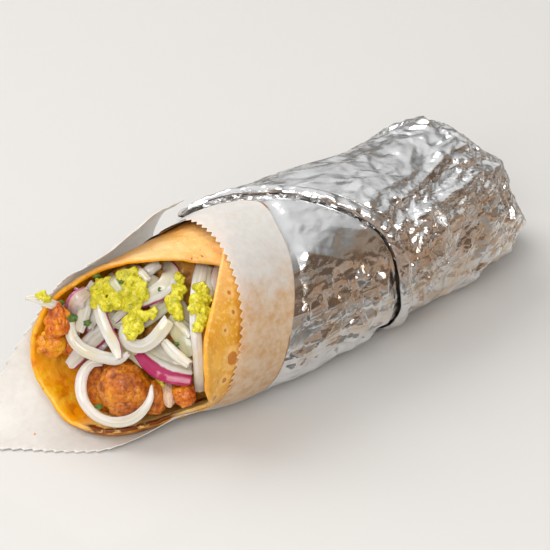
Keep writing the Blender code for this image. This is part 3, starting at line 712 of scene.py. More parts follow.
def bread_looks(x, rim, angle, spot):
    """How thick the bread is near its rim, where it is charred, where char and painted shade darken it
    inside, and where painted light brightens it inside.
    """
    mouth = x - rim + 0.7 * lumps(spot, 7, 51)
    lip = ease(-72, -86, angle) * ease(-158, -140, angle)
    under = lip * ease(-126, -108, angle)
    beside = ease(-22, -44, angle) * ease(-92, -78, angle)
    top = ease(118, 90, angle) * ease(34, 60, angle)
    # Painted light: where the inside of the lower lip lies in shade, the bread is painted a brighter
    # gold.
    lit = ease(-66, -84, angle) * ease(-176, -150, angle)
    return {
        "thicker": 1 + 0.5 * lip * bell(x - rim, 5),
        "char": 0.9 * bell(mouth - 0.2, 0.9) * (under + 0.6 * beside),
        # Darker inside: painted shade under the top flap, and a real char line along the lower lip.
        "char_and_shade": 0.7 * top * ease(2, 6, mouth) + 2.4 * bell(mouth - 1.1, 1.5) * under,
        "painted_light": lit * ease(26, 12, mouth),
    }


def make_bread():
    """The flatbread: a rolled sheet with rounded, uneven edges."""
    kept = {}

    def place(along, across):
        # rows lie closer together towards the rim, where the bread shows
        unrolled = BREAD_TURN * across
        angle = BREAD_START_ANGLE - unrolled
        torn = lumps(np.stack((unrolled, 0 * unrolled, 0 * unrolled), 1), 9, 5)
        rim = follow(BREAD_RIM, angle) + 0.5 * torn
        x = rim + (BREAD_REAR - rim) * along**2.2
        radius = bread_radius(unrolled, x) - BREAD_WALL / 2
        flare = LIP_FLARE * np.exp(-(x - rim) / 5) * ease(-100, -116, angle) * ease(-215, -190, angle)
        radius = radius + flare
        turn = np.radians(angle)
        spot = np.stack((x, radius * np.cos(turn), radius * np.sin(turn)), 1)
        radius = radius + 0.35 * layered_lumps(spot, 11, 3, 21) + 0.18 * lumps(spot, 2.6, 31)
        edge = np.minimum(x - rim, BREAD_REAR - x)
        ends = np.minimum(unrolled, BREAD_TURN - unrolled) * math.radians(BREAD_RADIUS)
        kept.update(bread_looks(x, rim, angle, spot))
        thickness = round_edge(np.minimum(edge, ends), BREAD_EDGE) * (1 + 0.12 * lumps(spot, 6, 41))
        kept["share"] = thickness * kept["thicker"]
        return rolled(x, angle, radius, BREAD_FLOOR + BREAD_WALL / 2, BREAD_BEND)

    bread = sheet("paratha_rolled", 96, 420, place)
    bread.data.materials.append(bread_outside_finish())
    bread.data.materials.append(bread_inside_finish())
    mark(bread, kept, "char", "char_and_shade", "painted_light")
    give_wall(bread, BREAD_WALL, kept["share"], inner_material=1)
    return finish_piece(bread, [], "bread", "paratha")


# ---------------------------------------------------------------- waxed paper

PAPER_THICKNESS = 0.22
PAPER_NEAR_EDGE = -130.0
PAPER_FAR_EDGE = 103.0
# Where along the roll the paper leaves the table to hug the bread, and where it meets the foil
PAPER_HUG = (-112, -84)
PAPER_ON_FOIL = (-52, -42)
# The free end stands off the roll from the first of these distances round it to the second
PAPER_CUFF = (50, 103)
PAPER_CURL = 0.0012
# The pinked front edge: how wide and deep its teeth are, and how far behind them the paper's rows
# run straight again
TOOTH_PITCH = 3.0
TOOTH_DEPTH = 1.7
TOOTH_FADE = 4.5


def paper_place(round_roll, x):
    """A point on the paper, by the distance round the roll from the line it rests on."""
    hug = ease(*PAPER_HUG, x)
    angle = -90 + np.degrees(round_roll / PAPER_RADIUS)
    over_foil = 1.15 * ease(*PAPER_ON_FOIL, x)
    radius = bread_clear(angle, np.maximum(x, -64)) + over_foil + 0.2
    cuff = ease(*PAPER_CUFF, round_roll)
    radius = radius + cuff * (1.2 + 5.0 * ease(-80, -35, x))
    spot = np.stack((x, round_roll, 0 * x), 1)
    wrinkle = 0.22 * lumps(spot, 13, 3) + 0.12 * lumps(spot, 5, 4)
    radius = radius + wrinkle * (0.4 + 1.8 * cuff)
    hugging = rolled(x, angle, radius, 0.0, WRAP_BEND)
    curl = PAPER_CURL * np.maximum(0, round_roll - 15) ** 2
    buckle = 0.5 * np.abs(lumps(spot, 16, 6)) * ease(4, 20, round_roll)
    flat = np.stack((x, round_roll, curl + buckle), 1)
    return flat + (hugging - flat) * hug[:, None]


def make_paper():
    """The waxed paper: pinked along its front edge, hugging the roll, loose behind and flat in front."""
    kept = {}

    def place(along, across):
        round_roll = PAPER_NEAR_EDGE + (PAPER_FAR_EDGE - PAPER_NEAR_EDGE) * across
        front = follow(PAPER_FRONT, round_roll)
        rear = follow(PAPER_REAR, round_roll)
        tooth = np.abs((round_roll / TOOTH_PITCH) % 1 - 0.5) * 2
        x = front + (rear - front) * along
        x = x + TOOTH_DEPTH * tooth * (1 - ease(0, TOOTH_FADE, x - front))
        angle = -90 + np.degrees(round_roll / PAPER_RADIUS)
        over_bread = 1 - between(round_roll, (-34, -22), (44, 60))
        # Painted shade: the paper is painted darker tan towards the near side and underneath, on top of
        # its real grease over the bread.
        low = between(angle % 360, (118, 190), (262, 276))
        kept["grease_and_shade"] = over_bread * (0.25 + 0.95 * low)
        side = between(round_roll, (-70, -58), (-34, -20))
        # A brown line along the paper's rear edge: painted shade where the edge meets the foil, with a
        # real grease line.
        kept["rim"] = ease(2.0, 0.6, rear - x) * (ease(-98, -112, round_roll) + side)
        return paper_place(round_roll, x)

    paper = sheet("waxed_paper_wrap", 46, 810, place)
    mark(paper, kept, "grease_and_shade", "rim")
    wall = paper.modifiers.new("wall", "SOLIDIFY")
    wall.thickness = PAPER_THICKNESS * MM
    wall.offset = 1
    apply_modifiers(paper)
    return finish_piece(paper, [paper_finish()], "paper", "paper_wrap")


# ---------------------------------------------------------------- foil


def cap_edge(angle):
    return follow(CAP_EDGE, (angle + 90) % 360 - 90)


def paper_rear(angle):
    below = (angle - PAPER_SEAM) % 360 + PAPER_SEAM - 270
    return follow(PAPER_REAR, np.radians(below) * PAPER_RADIUS)


# Straight creases of the inner foil: start and end as (along, angle), and height
TUBE_CREASES = (
    ((-12.5, 128.7), (16.7, 154.6), 0.55), ((-14, 146), (30, 168), -0.4), ((-20, 165), (6, 178), 0.6),
    ((2, 120), (26, 140), 0.35), ((6, 172), (30, 186), 0.5), ((-10, 110), (12, 118), -0.3),
    ((-24, 196), (22, 208), 0.9), ((-20, 208), (30, 224), 0.9), ((-8, 190), (36, 196), 0.8),
    ((-22, 216), (10, 232), 0.8),
)

# The same for the outer foil
CAP_CREASES = (
    ((17, 99), (58, 92), 0.6), ((28, 112), (66, 104), -0.5), ((45, 82), (92, 74), 0.5),
    ((36, 124), (70, 118), 0.7), ((52, 134), (84, 118), 1.0), ((60, 146), (96, 136), 1.2),
    ((66, 158), (104, 150), 1.1), ((40, 150), (62, 144), 0.8),
)

# How far the inner foil reaches under the outer one, and the share of its rows that turn back under it
TUBE_OVERLAP = 20.0
TUBE_TURN_BACK = 0.06
# The inner foil starts this far in under the paper
TUBE_START = 12.0
# Facets of the inner foil, as length, width and depth: where it is smooth, and where it is crumpled
TUBE_SMOOTH = ((34, 13, 0.6), (13, 7, 0.45), (5.5, 3.4, 0.22), (2.8, 2, 0.08))
TUBE_CRUMPLED = ((15, 10, 1.3), (8, 5, 1.2), (4.4, 3.0, 0.8), (2.4, 1.9, 0.3))
# The same for the outer foil: on top, and at the near side and the tail
CAP_CALM = ((46, 13, 1.5), (20, 7, 1.05), (8, 4, 0.55), (3.6, 2.4, 0.24))
CAP_WILD = ((22, 15, 2.0), (11, 8, 1.7), (5.4, 4.3, 1.3), (2.7, 2.3, 0.75))
# Half width of the straight creases
TUBE_CREASE_WIDTH = 2.6
CAP_CREASE_WIDTH = 3.2
# How high the inner foil's relief may stand, and how far that drops where the hem lies on it
TUBE_HIGHEST = 3.6
TUBE_UNDER_HEM = 2.2
# Distances from the bread, and how high the inner foil lies over the table where paper is under it
TUBE_OFF_BREAD = 0.35
CAP_OFF_BREAD = 1.9
TUBE_OVER_PAPER = 0.85
# Edges that bend more than this stay sharp in the shading
TUBE_SHARP = 7
CAP_SHARP = 8
# Slopes of the fine creases
TUBE_CRINKLE = 0.05
CAP_CRINKLE = 0.12


def ridges(creases, x, angle, width):
    """Height of all the straight creases at a point."""
    height = 0.0
    for start, end, depth in creases:
        height = height + depth * crease(x, angle, start, end, width)
    return height


def foil_tube_place(x, angle, inward):
    """A point on the smooth foil round the roll."""
    share = angle / 360
    radius = bread_clear(angle, np.minimum(x, BREAD_REAR)) + TUBE_OFF_BREAD
    soft = crushed(x, share, TUBE_SMOOTH, 61)
    lower = between(angle, (146, 168), (250, 290))
    rough = lower * crushed(x, share, TUBE_CRUMPLED, 70)
    straight = ridges(TUBE_CREASES, x, angle, TUBE_CREASE_WIDTH)
    behind = x - cap_edge(angle)
    shown = ease(1, 8, x - paper_rear(angle)) * (1 - 0.85 * ease(2, 8, behind))
    highest = TUBE_HIGHEST - TUBE_UNDER_HEM * ease(-9, -1, behind)
    radius = radius + np.clip(1.2 + soft + rough + straight, 0.1, highest) * shown - inward
    floor = TUBE_OVER_PAPER * (1 - ease(2, 10, x - paper_rear(angle)))
    return rolled(x, angle, radius, floor, WRAP_BEND)


def make_foil_tube(foil):
    """The inner foil: a nearly smooth tube from under the paper to under the crumpled cap."""
    kept = {}

    def place(along, across):
        angle = 360 * across
        front = paper_rear(angle) - TUBE_START
        turned = along - (1 - TUBE_TURN_BACK)
        outer = np.clip(along / (1 - TUBE_TURN_BACK), 0, 1)
        back = np.clip(turned / TUBE_TURN_BACK, 0, 1)
        x = front + (cap_edge(angle) + TUBE_OVERLAP - front) * outer * (1 - back)
        # Painted reflection: where the tan of the table is painted into the inner foil.
        kept["painted_reflection"] = between(angle, (140, 156), (196, 216)) * ease(-22, -8, x)
        kept["crushed"] = 0.3 + 0.7 * between(angle, (138, 165), (250, 290))
        return foil_tube_place(x, angle, 0.25 * ease(0, 0.02, turned))

    tube = sheet("foil_tube", 150, 400, place)
    mark(tube, kept, "painted_reflection", "crushed")
    close_seams(tube)
    finish_piece(tube, [foil], "foil", "foil_wrap")
    keep_creases(tube, TUBE_SHARP)


def cap_base(x, angle):
    """Radius of the cap without its relief."""
    return bread_clear(angle, np.minimum(x, BREAD_REAR)) + CAP_OFF_BREAD


# Width and height of the outer foil's rolled hem
HEM_WIDTH = 7.6
HEM_HEIGHT = 2.7


def cap_relief(x, angle):
    """Height of the rolled hem, creases and crumples of the cap."""
    share = angle / 360
    behind = x - cap_edge(angle)
    width = HEM_WIDTH + 1.2 * facets(x, share, 6, 40, 35)
    rolled_hem = np.sqrt(np.clip(1 - (2 * behind / width - 1) ** 2, 0, 1))
    uneven = 0.6 * facets(x, share, 4.2, 48, 33)
    hem = (HEM_HEIGHT + uneven + 0.35 * facets(x, share, 2.1, 96, 34)) * rolled_hem
    hem = hem - 0.7 * bell(behind - width - 0.6, 1.0)
    calm = crushed(x, share, CAP_CALM, 120)
    wild = crushed(x, share, CAP_WILD, 90)
    near = between(angle, (118, 140), (268, 310))
    tail = ease(66, 98, x)
    wildness = np.clip(near * ease(0, 16, behind - 2) + tail, 0, 1)
    straight = ridges(CAP_CREASES, x, angle, CAP_CREASE_WIDTH)
    relief = calm * (1 - wildness) + wild * wildness + straight
    return hem + relief * (0.12 + 0.88 * ease(6.5, 11, behind))


# Flat sides pressed into the rear of the outer foil: facing direction, and distance from the origin
FOIL_FLATS = (
    ((0.673, -0.191, 0.715), 116.2), ((0.742, -0.566, 0.359), 114.2), ((0.300, 0.620, 0.725), 84.8),
    ((0.860, 0.420, 0.290), 131.0), ((0.520, -0.779, 0.350), 94.5), ((0.120, -0.550, 0.826), 72.8),
    ((0.350, -0.900, -0.260), 59.5),
)

# The outer foil's hem: how far it is folded back under itself, and the share of the rows that do so
HEM_FOLD = 14.0
HEM_SHARE = 0.05
# How far the cap's hollows may sink, and where its tail is pinched shut
CAP_SINK = -1.5
PINCH_START = 142.0
PINCH_POINT = (3.0, 11.0)


def cap_round(x, angle, height):
    """A point of the cap at a height over the roll, before its flat sides are pressed in."""
    body = np.minimum(x, BREAD_REAR + 14)
    held = rolled(body, angle, cap_base(body, angle) + np.maximum(height, CAP_SINK), 0.0, WRAP_BEND)
    turn = np.radians(angle)
    middle, above, half_width, half_height = (
        follow([(row[0], row[column]) for row in FOIL_END], x) for column in (1, 2, 3, 4))
    wide = half_width + height * ease(0, 12, half_width)
    tall = half_height + height * ease(0, 12, half_height)
    end_height = rest_on(above + tall * np.sin(turn), 0.0, WRAP_BEND)
    crushed_end = np.stack((x, middle + wide * np.cos(turn), end_height), 1)
    blend = ease(BREAD_REAR + 2, BREAD_REAR + 20, x)[:, None]
    return held * (1 - blend) + crushed_end * blend


def cap_place(x, angle, inward=0.0):
    """A point of the cap: round the roll in front, and crushed to a blunt tail behind."""
    relief = cap_relief(x, angle) - inward
    smooth, points = cap_round(x, angle, relief * 0), cap_round(x, angle, relief)
    for facing, reach in FOIL_FLATS:
        over = np.maximum(smooth @ facing - reach, 0)[:, None] * np.array(facing)
        smooth, points = smooth - over, points - over
    pinch = ease(PINCH_START, FOIL_TAIL, x)[:, None]
    points[:, 1:] += (np.array(PINCH_POINT) - points[:, 1:]) * pinch * (1, 0.94)
    points[:, 2] = np.maximum(points[:, 2], 0.4 * inward)
    return points


def make_foil_cap(foil):
    """The outer foil: a rolled hem over the tube, crumpled behind, and crushed to a tail."""
    kept = {}

    def place(along, across):
        angle = 360 * across
        edge = cap_edge(angle)
        outer = np.clip((along - HEM_SHARE) / (1 - HEM_SHARE), 0, 1)
        under = np.clip(along / HEM_SHARE, 0, 1)
        x = edge + HEM_FOLD * (1 - under) + (FOIL_TAIL - edge) * outer
        # Painted reflection: where the tan of the table is painted into the outer foil.
        kept["painted_reflection"] = between(angle, (140, 160), (225, 250)) * ease(0, 6, x - edge)
        near = between(angle, (112, 138), (268, 310))
        kept["crushed"] = 0.25 + 0.75 * np.clip(near + ease(90, 115, x), 0, 1)
        points = cap_place(x, angle, inward=0)
        inner = cap_place(x, angle, inward=0.3 + 2.2 * ease(1, 0.6, under))
        return np.where((along < HEM_SHARE)[:, None], inner, points)

    cap = sheet("foil_cap", 226, 400, place)
    mark(cap, kept, "painted_reflection", "crushed")
    close_seams(cap)
    finish_piece(cap, [foil], "foil", "foil_wrap")
    keep_creases(cap, CAP_SHARP)


# ---------------------------------------------------------------- filling


def mouth_point(right, up, out, keep=None):
    """A point of the mouth's frame. With keep, it slides towards or away from the viewer until it is
    that near the roll's axis."""
    depth = out + MOUTH_SLANT * right + MOUTH_TILT * up
    point = MOUTH_CENTRE + RIGHT * right + UP * up + OUT * depth
    if keep is None or math.hypot(point[1], point[2] - AXIS_HEIGHT) <= keep:
        return point
    steps = [point - OUT * (0.25 * step) for step in range(-120, 120)]

    def cost(spot):
        over = max(math.hypot(spot[1], spot[2] - AXIS_HEIGHT) - keep, 0)
        return over * 1000 + np.linalg.norm(point - spot)

    return min(steps, key=cost)


def route_through(points, shares):
    """Points on a smooth curve through the given ones, at shares of its length."""
    points = np.array(points, float)
    steps = np.concatenate(([0], np.cumsum(np.linalg.norm(np.diff(points, axis=0), axis=1))))
    steps /= steps[-1]
    return np.stack([follow(list(zip(steps, points[:, axis])), shares) for axis in range(3)], 1)


# Onion slices: route of right, up, out; widths along it; lean; and which finish
ONIONS = {
    "onion_over_lip": (
        ((-35.5, 21.3, 9.6), (-31.8, 21.2, 9.0), (-26.9, 19.4, 7.6), (-21.8, 17.6, 1)),
        (1.6, 3.4, 3.6, 3.2), 0, "white",
    ),
    "onion_petal_left": (
        ((-12.2, 24.0, -5.5), (-15.6, 21.2, -4.8), (-17.6, 16.4, -4.4), (-18.6, 12.1, -4),
         (-18.0, 7, -4)),
        (4.2, 6.6, 7.6, 7.2, 4.8), 0, "pink",
    ),
    "onion_strip_white": (
        ((-9.6, 27.2, 2.0), (-12.0, 22.2, 2.4), (-13.6, 16.0, 1.8), (-15.6, 8.6, 0.2)),
        (3.6, 4.6, 4.8, 3.4), 0, "white",
    ),
    "onion_sliver": (
        ((-9.6, 20.6, -2.8), (-10.0, 15.2, -2.6), (-11.6, 9.8, -3.0)),
        (3.0, 4.4, 2.4), 14, "white",
    ),
    "onion_strip_pink": (
        ((-8.6, 19.4, 0.6), (-6.6, 13.1, 0.6), (-4.3, 8.2, 1.0), (-1.8, 3.6, 2.1), (-0.2, -1.4, 2.9)),
        (4.4, 5.0, 4.8, 4.6, 2.6), 0, "rim",
    ),
    "onion_arc_left": (
        ((-18.6, 13.6, 1.2), (-18.4, 7.1, 1.2), (-15.2, 2.8, 0.8), (-10.5, 0.4, 0.2),
         (-5.6, -1.0, -0.2), (-0.7, -1.5, -0.2), (3.4, 0.6, 0.2)),
        (2.6, 4.4, 4.8, 4.9, 4.8, 4.4, 1.8), 0, "white",
    ),
    "onion_petal_low": (
        ((-2.2, 12.6, -6.8), (-7.5, 8.2, -6.8), (-12.7, 3.4, -6.8), (-16.8, -1.1, -6.4),
         (-19.8, -4.6, -6)),
        (4.4, 6.6, 7.0, 6.4, 4.6), 0, "rim",
    ),
    "onion_ring_front": (
        ((-6.8, -3.0, -5), (-11.0, -3.4, -4), (-14.0, -6.6, -3), (-15.2, -11.2, -2.4),
         (-14.6, -16.1, -2), (-12.2, -20.2, -1.6), (-8.4, -23.3, -1.2), (-3.8, -25.0, -1),
         (0.8, -25.0, -1), (5.2, -23.5, -1), (9.0, -20.2, -1.4), (11.3, -16.1, -2), (11.9, -11.2, -2.6)),
        (2.4, 3.6, 4.3, 4.5, 4.3, 4.2, 4.0, 3.9, 4.1, 3.9, 3.4, 2.6, 0.9), 0, "white",
    ),
    "onion_arc_middle": (
        ((2.6, 12.6, -2.4), (1.7, 7.9, -2.2), (4.0, 4.1, -2.0), (8.2, 3.4, -1.8), (12.3, 5.6, -1.2),
         (15.7, 9.3, -1.2), (18.6, 13.6, -2.2)),
        (3.4, 4.8, 5.2, 5.2, 5.2, 5.4, 4.8), 0, "white",
    ),
    "onion_wedge_purple": (
        ((7.4, 1.6, -6.2), (11.4, -2.2, -6.2), (16.2, -5.4, -6.2), (21.7, -7.2, -6.8),
         (27.0, -8.0, -8.4)),
        (6.2, 8.6, 9.2, 8.6, 7.2), -22, "purple",
    ),
    "onion_strip_short": (
        ((16.4, 5.4, -3.4), (19.4, 1.9, -2.2), (22.8, -0.9, -1.8), (26.4, -3.4, -2.2)),
        (3.0, 4.2, 4.2, 3.4), 0, "white",
    ),
    "onion_strip_hanging": (
        ((31, 34.8, -18), (29.9, 29.9, -12), (28.8, 22.4, -5), (28.4, 11.2, 0.4), (29.2, 1.9, 0.4),
         (29.6, -6, -2.6), (29.6, -13.5, -8.5)),
        (5.0, 5.4, 4.8, 4.2, 4.0, 4.0, 3.8), 0, "white",
    ),
    "onion_wide_right": (
        ((18.4, 14.2, -7.6), (22.4, 9.6, -7.2), (25.4, 5.2, -7.2), (27.4, 0.0, -7.6)),
        (5.4, 8.2, 8.4, 6.2), 8, "green",
    ),
    "onion_strip_thin": (
        ((20.8, 13.0, -4.8), (23.6, 10.2, -4.6), (26.4, 6.8, -4.6)),
        (2.4, 3.2, 2.4), 0, "white",
    ),
    "onion_petal_top": (
        ((16.8, 35.0, -7.5), (19.2, 30.0, -6.5), (16.8, 25.2, -5.4), (11.4, 22.0, -4.4),
         (6.0, 19.2, -3.9), (1.4, 16.4, -3.7), (-2.6, 12.6, -3.7)),
        (3.4, 5.6, 7.4, 7.2, 5.4, 4.0, 2.6), 0, "rim",
    ),
    "onion_strip_behind": (
        ((20.6, 20.6, -8.4), (16.4, 17.8, -7.6), (12.3, 14.6, -7.0), (8.6, 11.2, -6.8)),
        (3.4, 4.6, 4.4, 2.8), 0, "green",
    ),
    "onion_strip_roof": (
        ((7.2, 28.4, -8.0), (11.2, 32.0, -8.6), (14.6, 34.0, -9.4)),
        (3.6, 4.4, 3.0), 0, "white",
    ),
    "onion_bit_right": (
        ((36.2, 33.2, -11), (35.2, 28.8, -8), (35.2, 23.6, -4)),
        (2.4, 3.6, 2.8), 0, "pink",
    ),
}

# Slices without a solid of their own: most lie deeper, between the ones above, and the last two on top
DEEP_ONIONS = {
    "onion_deep_left": (
        ((-14.6, 25.4, -9.0), (-13.2, 17.0, -9.0), (-10.2, 8.6, -9.2), (-6.8, 1.8, -9.6)),
        (5.0, 7.0, 7.4, 5.6), 10, "pink",
    ),
    "onion_deep_petal": (
        ((5.6, 28.6, -7.8), (10.6, 26.6, -7.4), (14.6, 22.4, -7.2), (13.2, 17.4, -7.6)),
        (4.0, 8.0, 8.4, 5.0), -14, "white",
    ),
    "onion_deep_middle": (
        ((-8.4, 18.4, -5.2), (-3.2, 14.2, -5.4), (2.0, 12.0, -5.8), (7.4, 12.6, -6.2)),
        (4.0, 6.0, 6.2, 4.4), 0, "green",
    ),
    "onion_deep_arc": (
        ((-4.6, 6.6, -5.2), (0.2, 3.4, -5.4), (5.6, 0.2, -6.0), (9.4, -4.4, -7.6)),
        (3.6, 5.0, 5.4, 3.4), 12, "green",
    ),
    "onion_deep_right": (
        ((20.6, 21.0, -10.5), (24.2, 12.4, -10.5), (26.6, 3.0, -11)),
        (5.0, 7.0, 6.4), -10, "white",
    ),
    "onion_deep_wedge": (
        ((10.6, 4.2, -8.6), (15.4, 0.6, -8.8), (21.2, -2.2, -9.2), (26.8, -4.6, -10)),
        (5.2, 7.0, 7.0, 6.0), -16, "white",
    ),
    "onion_deep_corner": (
        ((33.0, 33.0, -13), (33.2, 27.0, -10.5), (33.0, 20.0, -8)),
        (4.2, 5.0, 3.8), 0, "green",
    ),
    "onion_on_chutney": (
        ((-3.6, 30.0, 2.6), (-2.0, 27.0, 4.4), (0.4, 24.0, 4.2)),
        (2.2, 3.6, 2.4), 12, "green",
    ),
    "onion_on_middle": (
        ((3.4, 33.2, -4.6), (8.0, 30.8, -3.4), (11.0, 27.6, -3.4)),
        (2.4, 3.4, 2.4), -8, "white",
    ),
}

ONION_THICKNESS = 0.95
# How far in a slice's edge is rounded, and the height of its crown as a share of its width
ONION_EDGE = 0.6
ONION_CROWN = 0.16


def slice_frame(spots, shares, lean):
    """Points along a slice, and the directions ahead, across and out of it there."""
    line = route_through(spots, shares)
    ahead = route_through(spots, np.minimum(shares + 0.01, 1))
    ahead = ahead - route_through(spots, np.maximum(shares - 0.01, 0))
    ahead /= np.linalg.norm(ahead, axis=1, keepdims=True)
    side = np.cross(OUT, ahead)
    side /= np.linalg.norm(side, axis=1, keepdims=True)
    front = np.cross(ahead, side)
    turn = math.radians(lean)
    tilted = side * math.cos(turn) + front * math.sin(turn)
    return line, ahead, tilted, front * math.cos(turn) - side * math.sin(turn)


def onion_slice(name, route, widths, lean, finish, finishes):
    """A slice of onion layer: a narrow sheet bent along its route, round at its edge and crowned."""
    outside = name == "onion_over_lip"
    keep = None if outside else BREAD_INSIDE - max(widths) / 2 - 1.6
    spots = [mouth_point(*point, keep=keep) for point in route]
    kept = {}
    seed = seed_of(name)

    def place(along, across):
        line, ahead, tilted, front = slice_frame(spots, along, lean)
        width = follow(list(zip(np.linspace(0, 1, len(widths)), widths)), along)
        length = np.linalg.norm(np.diff(np.array(spots), axis=0), axis=1).sum()
        spread = (across - 0.5) * width
        spot = np.stack((along * length, across * 3, 0 * along), 1)
        wave = 0.35 * lumps(spot, 7, seed) + 0.12 * lumps(spot, 2.5, seed + 1)
        crown = ONION_CROWN * width * (1 - (2 * across - 1) ** 2)
        end = np.minimum(along, 1 - along) * length
        edge = np.minimum(np.minimum(across, 1 - across) * width, end)
        kept["share"] = round_edge(edge, ONION_EDGE)
        kept["side"] = 1 - across if finish in ("purple", "pink") else across
        streaks = np.stack((along * length / 14, across * 8, 0 * along), 1)
        kept["fibre"] = 0.5 + 0.5 * lumps(streaks, 1, seed + 2)
        torn = np.stack((across * 6, 0 * across, 0 * across), 1)
        fray = 0.5 * lumps(torn, 1, seed + 3) * (1 - ease(0, 2.5, end))
        return line + tilted * spread[:, None] + front * (wave + crown)[:, None] + ahead * fray[:, None]

    steps = 14 * len(route)
    piece = sheet(name + "_slice", steps, 24, place)
    mark(piece, kept, "side", "fibre")
    give_wall(piece, ONION_THICKNESS, kept["share"])
    slot = "onion_purple" if finish == "purple" else "onion"
    return finish_piece(piece, [finishes[finish]], slot, *([name] if name in ONIONS else []))


# Meat: middle as right, up, out; half sizes; fineness of the mesh; roughness; and which finish
MEATS = {
    "kebab_front": ((1.2, -12.8, -7.0), (10.2, 10.5, 9.6), 6, 1.1, "kebab"),
    "kebab_behind": ((-6.5, -10.5, -15.0), (7.8, 9.8, 6.4), 5, 1.3, "kebab"),
    "kebab_right": ((12.6, -15.8, -12.5), (4.4, 6.8, 5.0), 5, 1.0, "kebab"),
    "chicken_left_upper": ((-23.8, 12.4, -6.4), (4.4, 5.8, 2.8), 6, 1.7, "chicken"),
    "chicken_left_lower": ((-26.4, 4.4, -5.0), (4.6, 4.4, 2.4), 6, 1.5, "yellow"),
    "chicken_left_inner": ((-21.4, 5.0, -7.6), (4.8, 5.0, 3.2), 6, 1.6, "chicken"),
    "chicken_right": ((23.6, -14.6, -10.5), (4.6, 4.4, 3.6), 6, 1.4, "chicken"),
    "chicken_right_pale": ((18.2, -15.2, -11.0), (2.2, 4.4, 3.0), 5, 0.9, "pale"),
}


# Each meat finish: name, dark, middle and light colour, and how matt it is
MEAT_FINISHES = {
    "kebab": ("kebab_crust", (0.22, 0.036, 0.001), (0.57, 0.145, 0.003), (0.80, 0.31, 0.02), 0.3),
    "chicken": ("chicken_orange", (0.42, 0.06, 0.001), (0.66, 0.155, 0.001), (0.84, 0.31, 0.006), 0.2),
    "yellow": ("chicken_yellow", (0.58, 0.13, 0.001), (0.78, 0.27, 0.002), (0.90, 0.44, 0.012), 0.2),
    "pale": ("chicken_pale", (0.62, 0.34, 0.20), (0.80, 0.56, 0.40), (0.88, 0.70, 0.55), 0.3),
    "masala": ("filling_masala", (0.24, 0.085, 0.010), (0.50, 0.22, 0.025), (0.68, 0.42, 0.08), 0.3),
}
MEAT_SIDES = 11


def meat_chunk(name, middle, half_sizes, fineness, rough, finish):
    """A piece of meat: a lump with flattened sides, coarse relief and a finer broken grain."""
    keep = BREAD_INSIDE - 1.0 - 0.8 * max(half_sizes[:2])
    centre = mouth_point(*middle, keep=keep)
    seed = seed_of(name)
    draw = np.random.default_rng(seed)
    sides = draw.normal(size=(MEAT_SIDES, 3))
    sides /= np.linalg.norm(sides, axis=1, keepdims=True)
    cuts = draw.uniform(0.80 if rough > 1.1 else 0.93, 1.0, MEAT_SIDES)
    kept = {}

    def place(direction):
        reach = np.ones(len(direction))
        for side, cut in zip(sides, cuts):
            toward = direction @ side
            reach = np.minimum(reach, np.where(toward > 0.1, cut / np.maximum(toward, 0.1), 9))
        size = min(half_sizes)
        spot = direction * size
        reach = reach + 0.09 * rough * layered_lumps(spot, size * 0.8, 2, seed)
        coarse = np.abs(lumps(spot * (1, 1.8, 1), 2.4, seed + 5))
        grain = 0.36 * coarse + 0.30 * np.abs(lumps(spot, 1.0, seed + 6))
        reach = reach + rough * grain / size + 0.10 * lumps(spot, 0.55, seed + 7) / size
        # Painted shade in the hollows of the grain, kept for the material.
        kept["painted_crevice_shade"] = ease(0.15, 0.02, grain)
        return centre + (direction * reach[:, None] * half_sizes) @ MOUTH_AXES

    piece = ball(name + "_chunk", fineness, place)
    mark(piece, kept, "painted_crevice_shade")
    return finish_piece(piece, [finish], "kebab" if "kebab" in name else "chicken", name)


# Chutney: lobes as right, up, out and radius
CHUTNEYS = {
    "chutney_left": (
        (-8.2, 22.8, 1.2, 3.9), (-3.7, 26.2, 0.4, 3.6), (0.9, 29.3, -1.6, 3.2), (5.2, 30.6, -3.4, 2.8),
        (-1.2, 20.6, 0.2, 3.9), (3.4, 23.6, -0.6, 3.6), (3.4, 18.6, -0.8, 3.0), (8.2, 22.6, -1.6, 3.2),
        (-9.8, 19.8, 1.0, 2.5), (-7.2, 26.4, 0.6, 2.7), (-5.2, 18.4, 0.4, 2.9), (0.4, 25.6, -0.2, 3.4),
        (6.4, 19.6, -1.2, 2.6), (7.6, 26.8, -2.4, 2.8), (4.4, 27.2, -1.6, 3.2),
    ),
    "chutney_drip": (
        (4.9, 13.2, -0.2, 2.8), (3.7, 10.1, 0.6, 2.9), (4.6, 7.3, 0.8, 2.3), (8.8, 14.6, -1.4, 2.6),
        (12.0, 15.6, -2.6, 2.2), (6.8, 10.4, 0.2, 2.7), (2.6, 12.4, 0.0, 2.3), (6.4, 15.6, -1.0, 2.6),
    ),
    "chutney_middle": (
        (21.2, 28.2, -10, 3.2), (20.7, 24.8, -8.2, 3.0), (20.8, 21.3, -6.6, 3.0),
        (20.0, 17.9, -5.4, 3.0), (22.0, 17.0, -5.4, 2.2), (21.8, 14.8, -3.8, 2.2),
        (22.8, 24.6, -8.4, 2.2), (18.8, 20.4, -6.0, 2.4),
    ),
    "chutney_right": (
        (30.1, 24.3, -3.0, 3.5), (29.2, 20.2, 0.4, 3.6), (29.5, 16.1, 1.6, 3.5),
        (30.8, 12.7, 2.2, 2.9), (29.3, 10.6, 2.4, 2.3), (32.2, 20.6, 0.0, 2.6), (32.6, 16.4, 1.4, 2.1),
        (28.2, 17.6, 1.2, 2.6),
    ),
    "chutney_tip": (
        (-29.2, 22.3, 9.2, 2.0), (-27.4, 21.2, 8.2, 1.7), (-30.4, 22.2, 9.4, 1.4),
    ),
    "chutney_low": (
        (15.6, -12.6, -12.5, 2.8), (15.2, -9.4, -12.5, 2.6),
    ),
}
# Size of the remesh that runs the lobes together
CHUTNEY_GRAIN = 0.3


